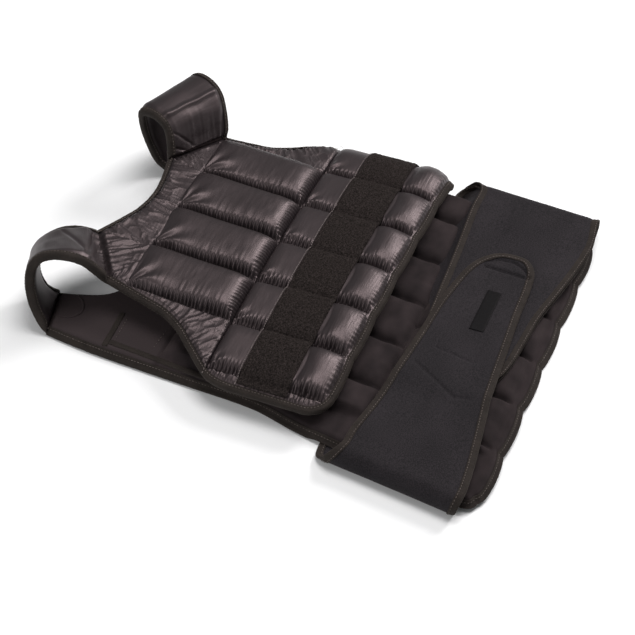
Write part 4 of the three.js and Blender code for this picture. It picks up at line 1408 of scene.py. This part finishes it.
class VEST_OT_edge_tapes(bpy.types.Operator):
    """Tape folded over the edges of the panels and straps, with its stitches"""

    bl_idname = "vest.edge_tapes"
    bl_label = "Edge tapes"
    bl_options = {"REGISTER", "UNDO"}

    def execute(self, context):
        def front_top(x, y, depth):
            past_rim = front_base(x) - FRONT["rim_half"]
            return FRONT["rim_half"] + past_rim * smooth(depth / FRONT["rim_run"])

        rows = []
        for panel, runs, form, top, under, seed in (
                ("front", front_runs(), front_form, front_top, front_lining, 700),
                ("back", back_runs(), flat_form, back_relief, back_under, 710)):
            for part, run in zip(("edge", "neck"), runs):
                surface = panel_edge(run, form, top, under)
                rows += tape_with_stitches(f"{panel}_{part}_tape", surface, len(run),
                                           [f"{panel}_{part}_binding"], seed)
        for side in ("right", "left"):
            neck, arm, outward = strap_edges(side)
            for edge in ("neck", "arm"):
                surface = band_edge(neck, arm, outward, edge)
                rows += tape_with_stitches(f"{side}_strap_{edge}_tape", surface, len(neck),
                                           [f"{side}_strap_{edge}_binding"], 740,
                                           faces=(1, -1))
        sew("edge_stitches", rows, "thread")
        return {"FINISHED"}


class VEST_OT_label_patch(bpy.types.Operator):
    """Blank patch bonded on the right belt near its tip"""

    bl_idname = "vest.label_patch"
    bl_label = "Blank patch"
    bl_options = {"REGISTER", "UNDO"}

    def execute(self, context):
        bpy.ops.object.select_all(action="DESELECT")
        low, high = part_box("label_patch")
        bpy.ops.mesh.primitive_cube_add(size=1, location=(low + high) / 2)
        piece = context.active_object
        piece.name = piece.data.name = "belt_patch"
        piece.scale = high - low
        bpy.ops.object.transform_apply(location=False, rotation=False, scale=True)
        bpy.ops.object.mode_set(mode="EDIT")
        bpy.ops.mesh.select_all(action="SELECT")
        bpy.ops.mesh.subdivide(number_cuts=5)
        bpy.ops.object.mode_set(mode="OBJECT")
        bpy.ops.object.transform_apply(location=True, rotation=True, scale=True)
        rounding = piece.modifiers.new("rounding", "BEVEL")
        rounding.width, rounding.segments = 0.0003, 2
        bpy.ops.object.modifier_apply(modifier=rounding.name)
        bpy.ops.object.shade_smooth_by_angle(angle=math.radians(50))
        dress(piece, "patch", replaces=["label_patch"])
        return {"FINISHED"}


class VEST_OT_stage(bpy.types.Operator):
    """Pale floor, soft studio light and the camera"""

    bl_idname = "vest.stage"
    bl_label = "Stage"
    bl_options = {"REGISTER", "UNDO"}

    def execute(self, context):
        scene = context.scene
        bpy.ops.object.select_all(action="DESELECT")
        bpy.ops.mesh.primitive_plane_add(size=8, location=(0, 0, 0))
        floor = context.active_object
        floor.name = "floor"
        paper, _ = new_material("floor_paper", Roughness=0.9, Specular_IOR_Level=0.1,
                                Base_Color=hex_colour(scene.vest_colours.floor))
        floor.data.materials.append(paper)

        scene.view_settings.view_transform = "Standard"
        world = scene.world or bpy.data.worlds.new("studio")
        scene.world = world
        world.use_nodes = True
        back = world.node_tree.nodes["Background"]
        back.inputs["Color"].default_value = hex_colour(scene.vest_colours.world)
        back.inputs["Strength"].default_value = 0.25

        for name, spot, size, power in LAMPS:
            lamp = bpy.data.lights.new(name, "AREA")
            lamp.size, lamp.energy, lamp.color = size, power, (1, 0.955, 0.95)
            obj = bpy.data.objects.new(name, lamp)
            scene.collection.objects.link(obj)
            obj.location = spot
            obj.rotation_mode = "QUATERNION"
            obj.rotation_quaternion = (-Vector(spot)).to_track_quat("-Z", "Y")

        azimuth = math.radians(PHOTO_VIEW["azimuth"])
        elevation = math.radians(PHOTO_VIEW["elevation"])
        away = Vector((math.sin(azimuth) * math.cos(elevation),
                       -math.cos(azimuth) * math.cos(elevation), math.sin(elevation)))
        lens = bpy.data.cameras.new("photo_camera")
        lens.lens, lens.sensor_width = PHOTO_VIEW["lens"], 36
        camera = bpy.data.objects.new("photo_camera", lens)
        scene.collection.objects.link(camera)
        camera.location = Vector(PHOTO_VIEW["target"]) + away * PHOTO_VIEW["distance"]
        camera.rotation_mode = "QUATERNION"
        camera.rotation_quaternion = (-away).to_track_quat("-Z", "Y")
        scene.camera = camera
        return {"FINISHED"}


OPERATORS = (VEST_OT_stage, VEST_OT_back_panel, VEST_OT_back_details, VEST_OT_belts,
             VEST_OT_label_patch, VEST_OT_front_panel, VEST_OT_loop_strip,
             VEST_OT_seam_stitches, VEST_OT_straps, VEST_OT_edge_tapes)


class VEST_PT_panel(bpy.types.Panel):
    """Lists the vest's operators and settings in the sidebar"""

    bl_idname = "VEST_PT_panel"
    bl_label = "Weighted vest"
    bl_space_type = "VIEW_3D"
    bl_region_type = "UI"
    bl_category = "Vest"

    def draw(self, context):
        for kind in OPERATORS:
            self.layout.operator(kind.bl_idname)
        for group in (context.scene.vest_sizes, context.scene.vest_colours):
            for name in group.bl_rna.properties.keys():
                if name not in ("rna_type", "name"):
                    self.layout.prop(group, name)


CLASSES = (VestSizes, VestColours, *OPERATORS, VEST_PT_panel)


def register():
    for kind in CLASSES:
        bpy.utils.register_class(kind)
    bpy.types.Scene.vest_sizes = bpy.props.PointerProperty(type=VestSizes)
    bpy.types.Scene.vest_colours = bpy.props.PointerProperty(type=VestColours)


def unregister():
    del bpy.types.Scene.vest_colours
    del bpy.types.Scene.vest_sizes
    for kind in reversed(CLASSES):
        bpy.utils.unregister_class(kind)


def main():
    register()
    bpy.ops.vest.stage()
    bpy.ops.vest.back_panel()
    bpy.ops.vest.back_details()
    bpy.ops.vest.belts()
    bpy.ops.vest.label_patch()
    bpy.ops.vest.front_panel()
    bpy.ops.vest.loop_strip()
    bpy.ops.vest.seam_stitches()
    bpy.ops.vest.straps()
    bpy.ops.vest.edge_tapes()


if __name__ == "__main__":
    main()
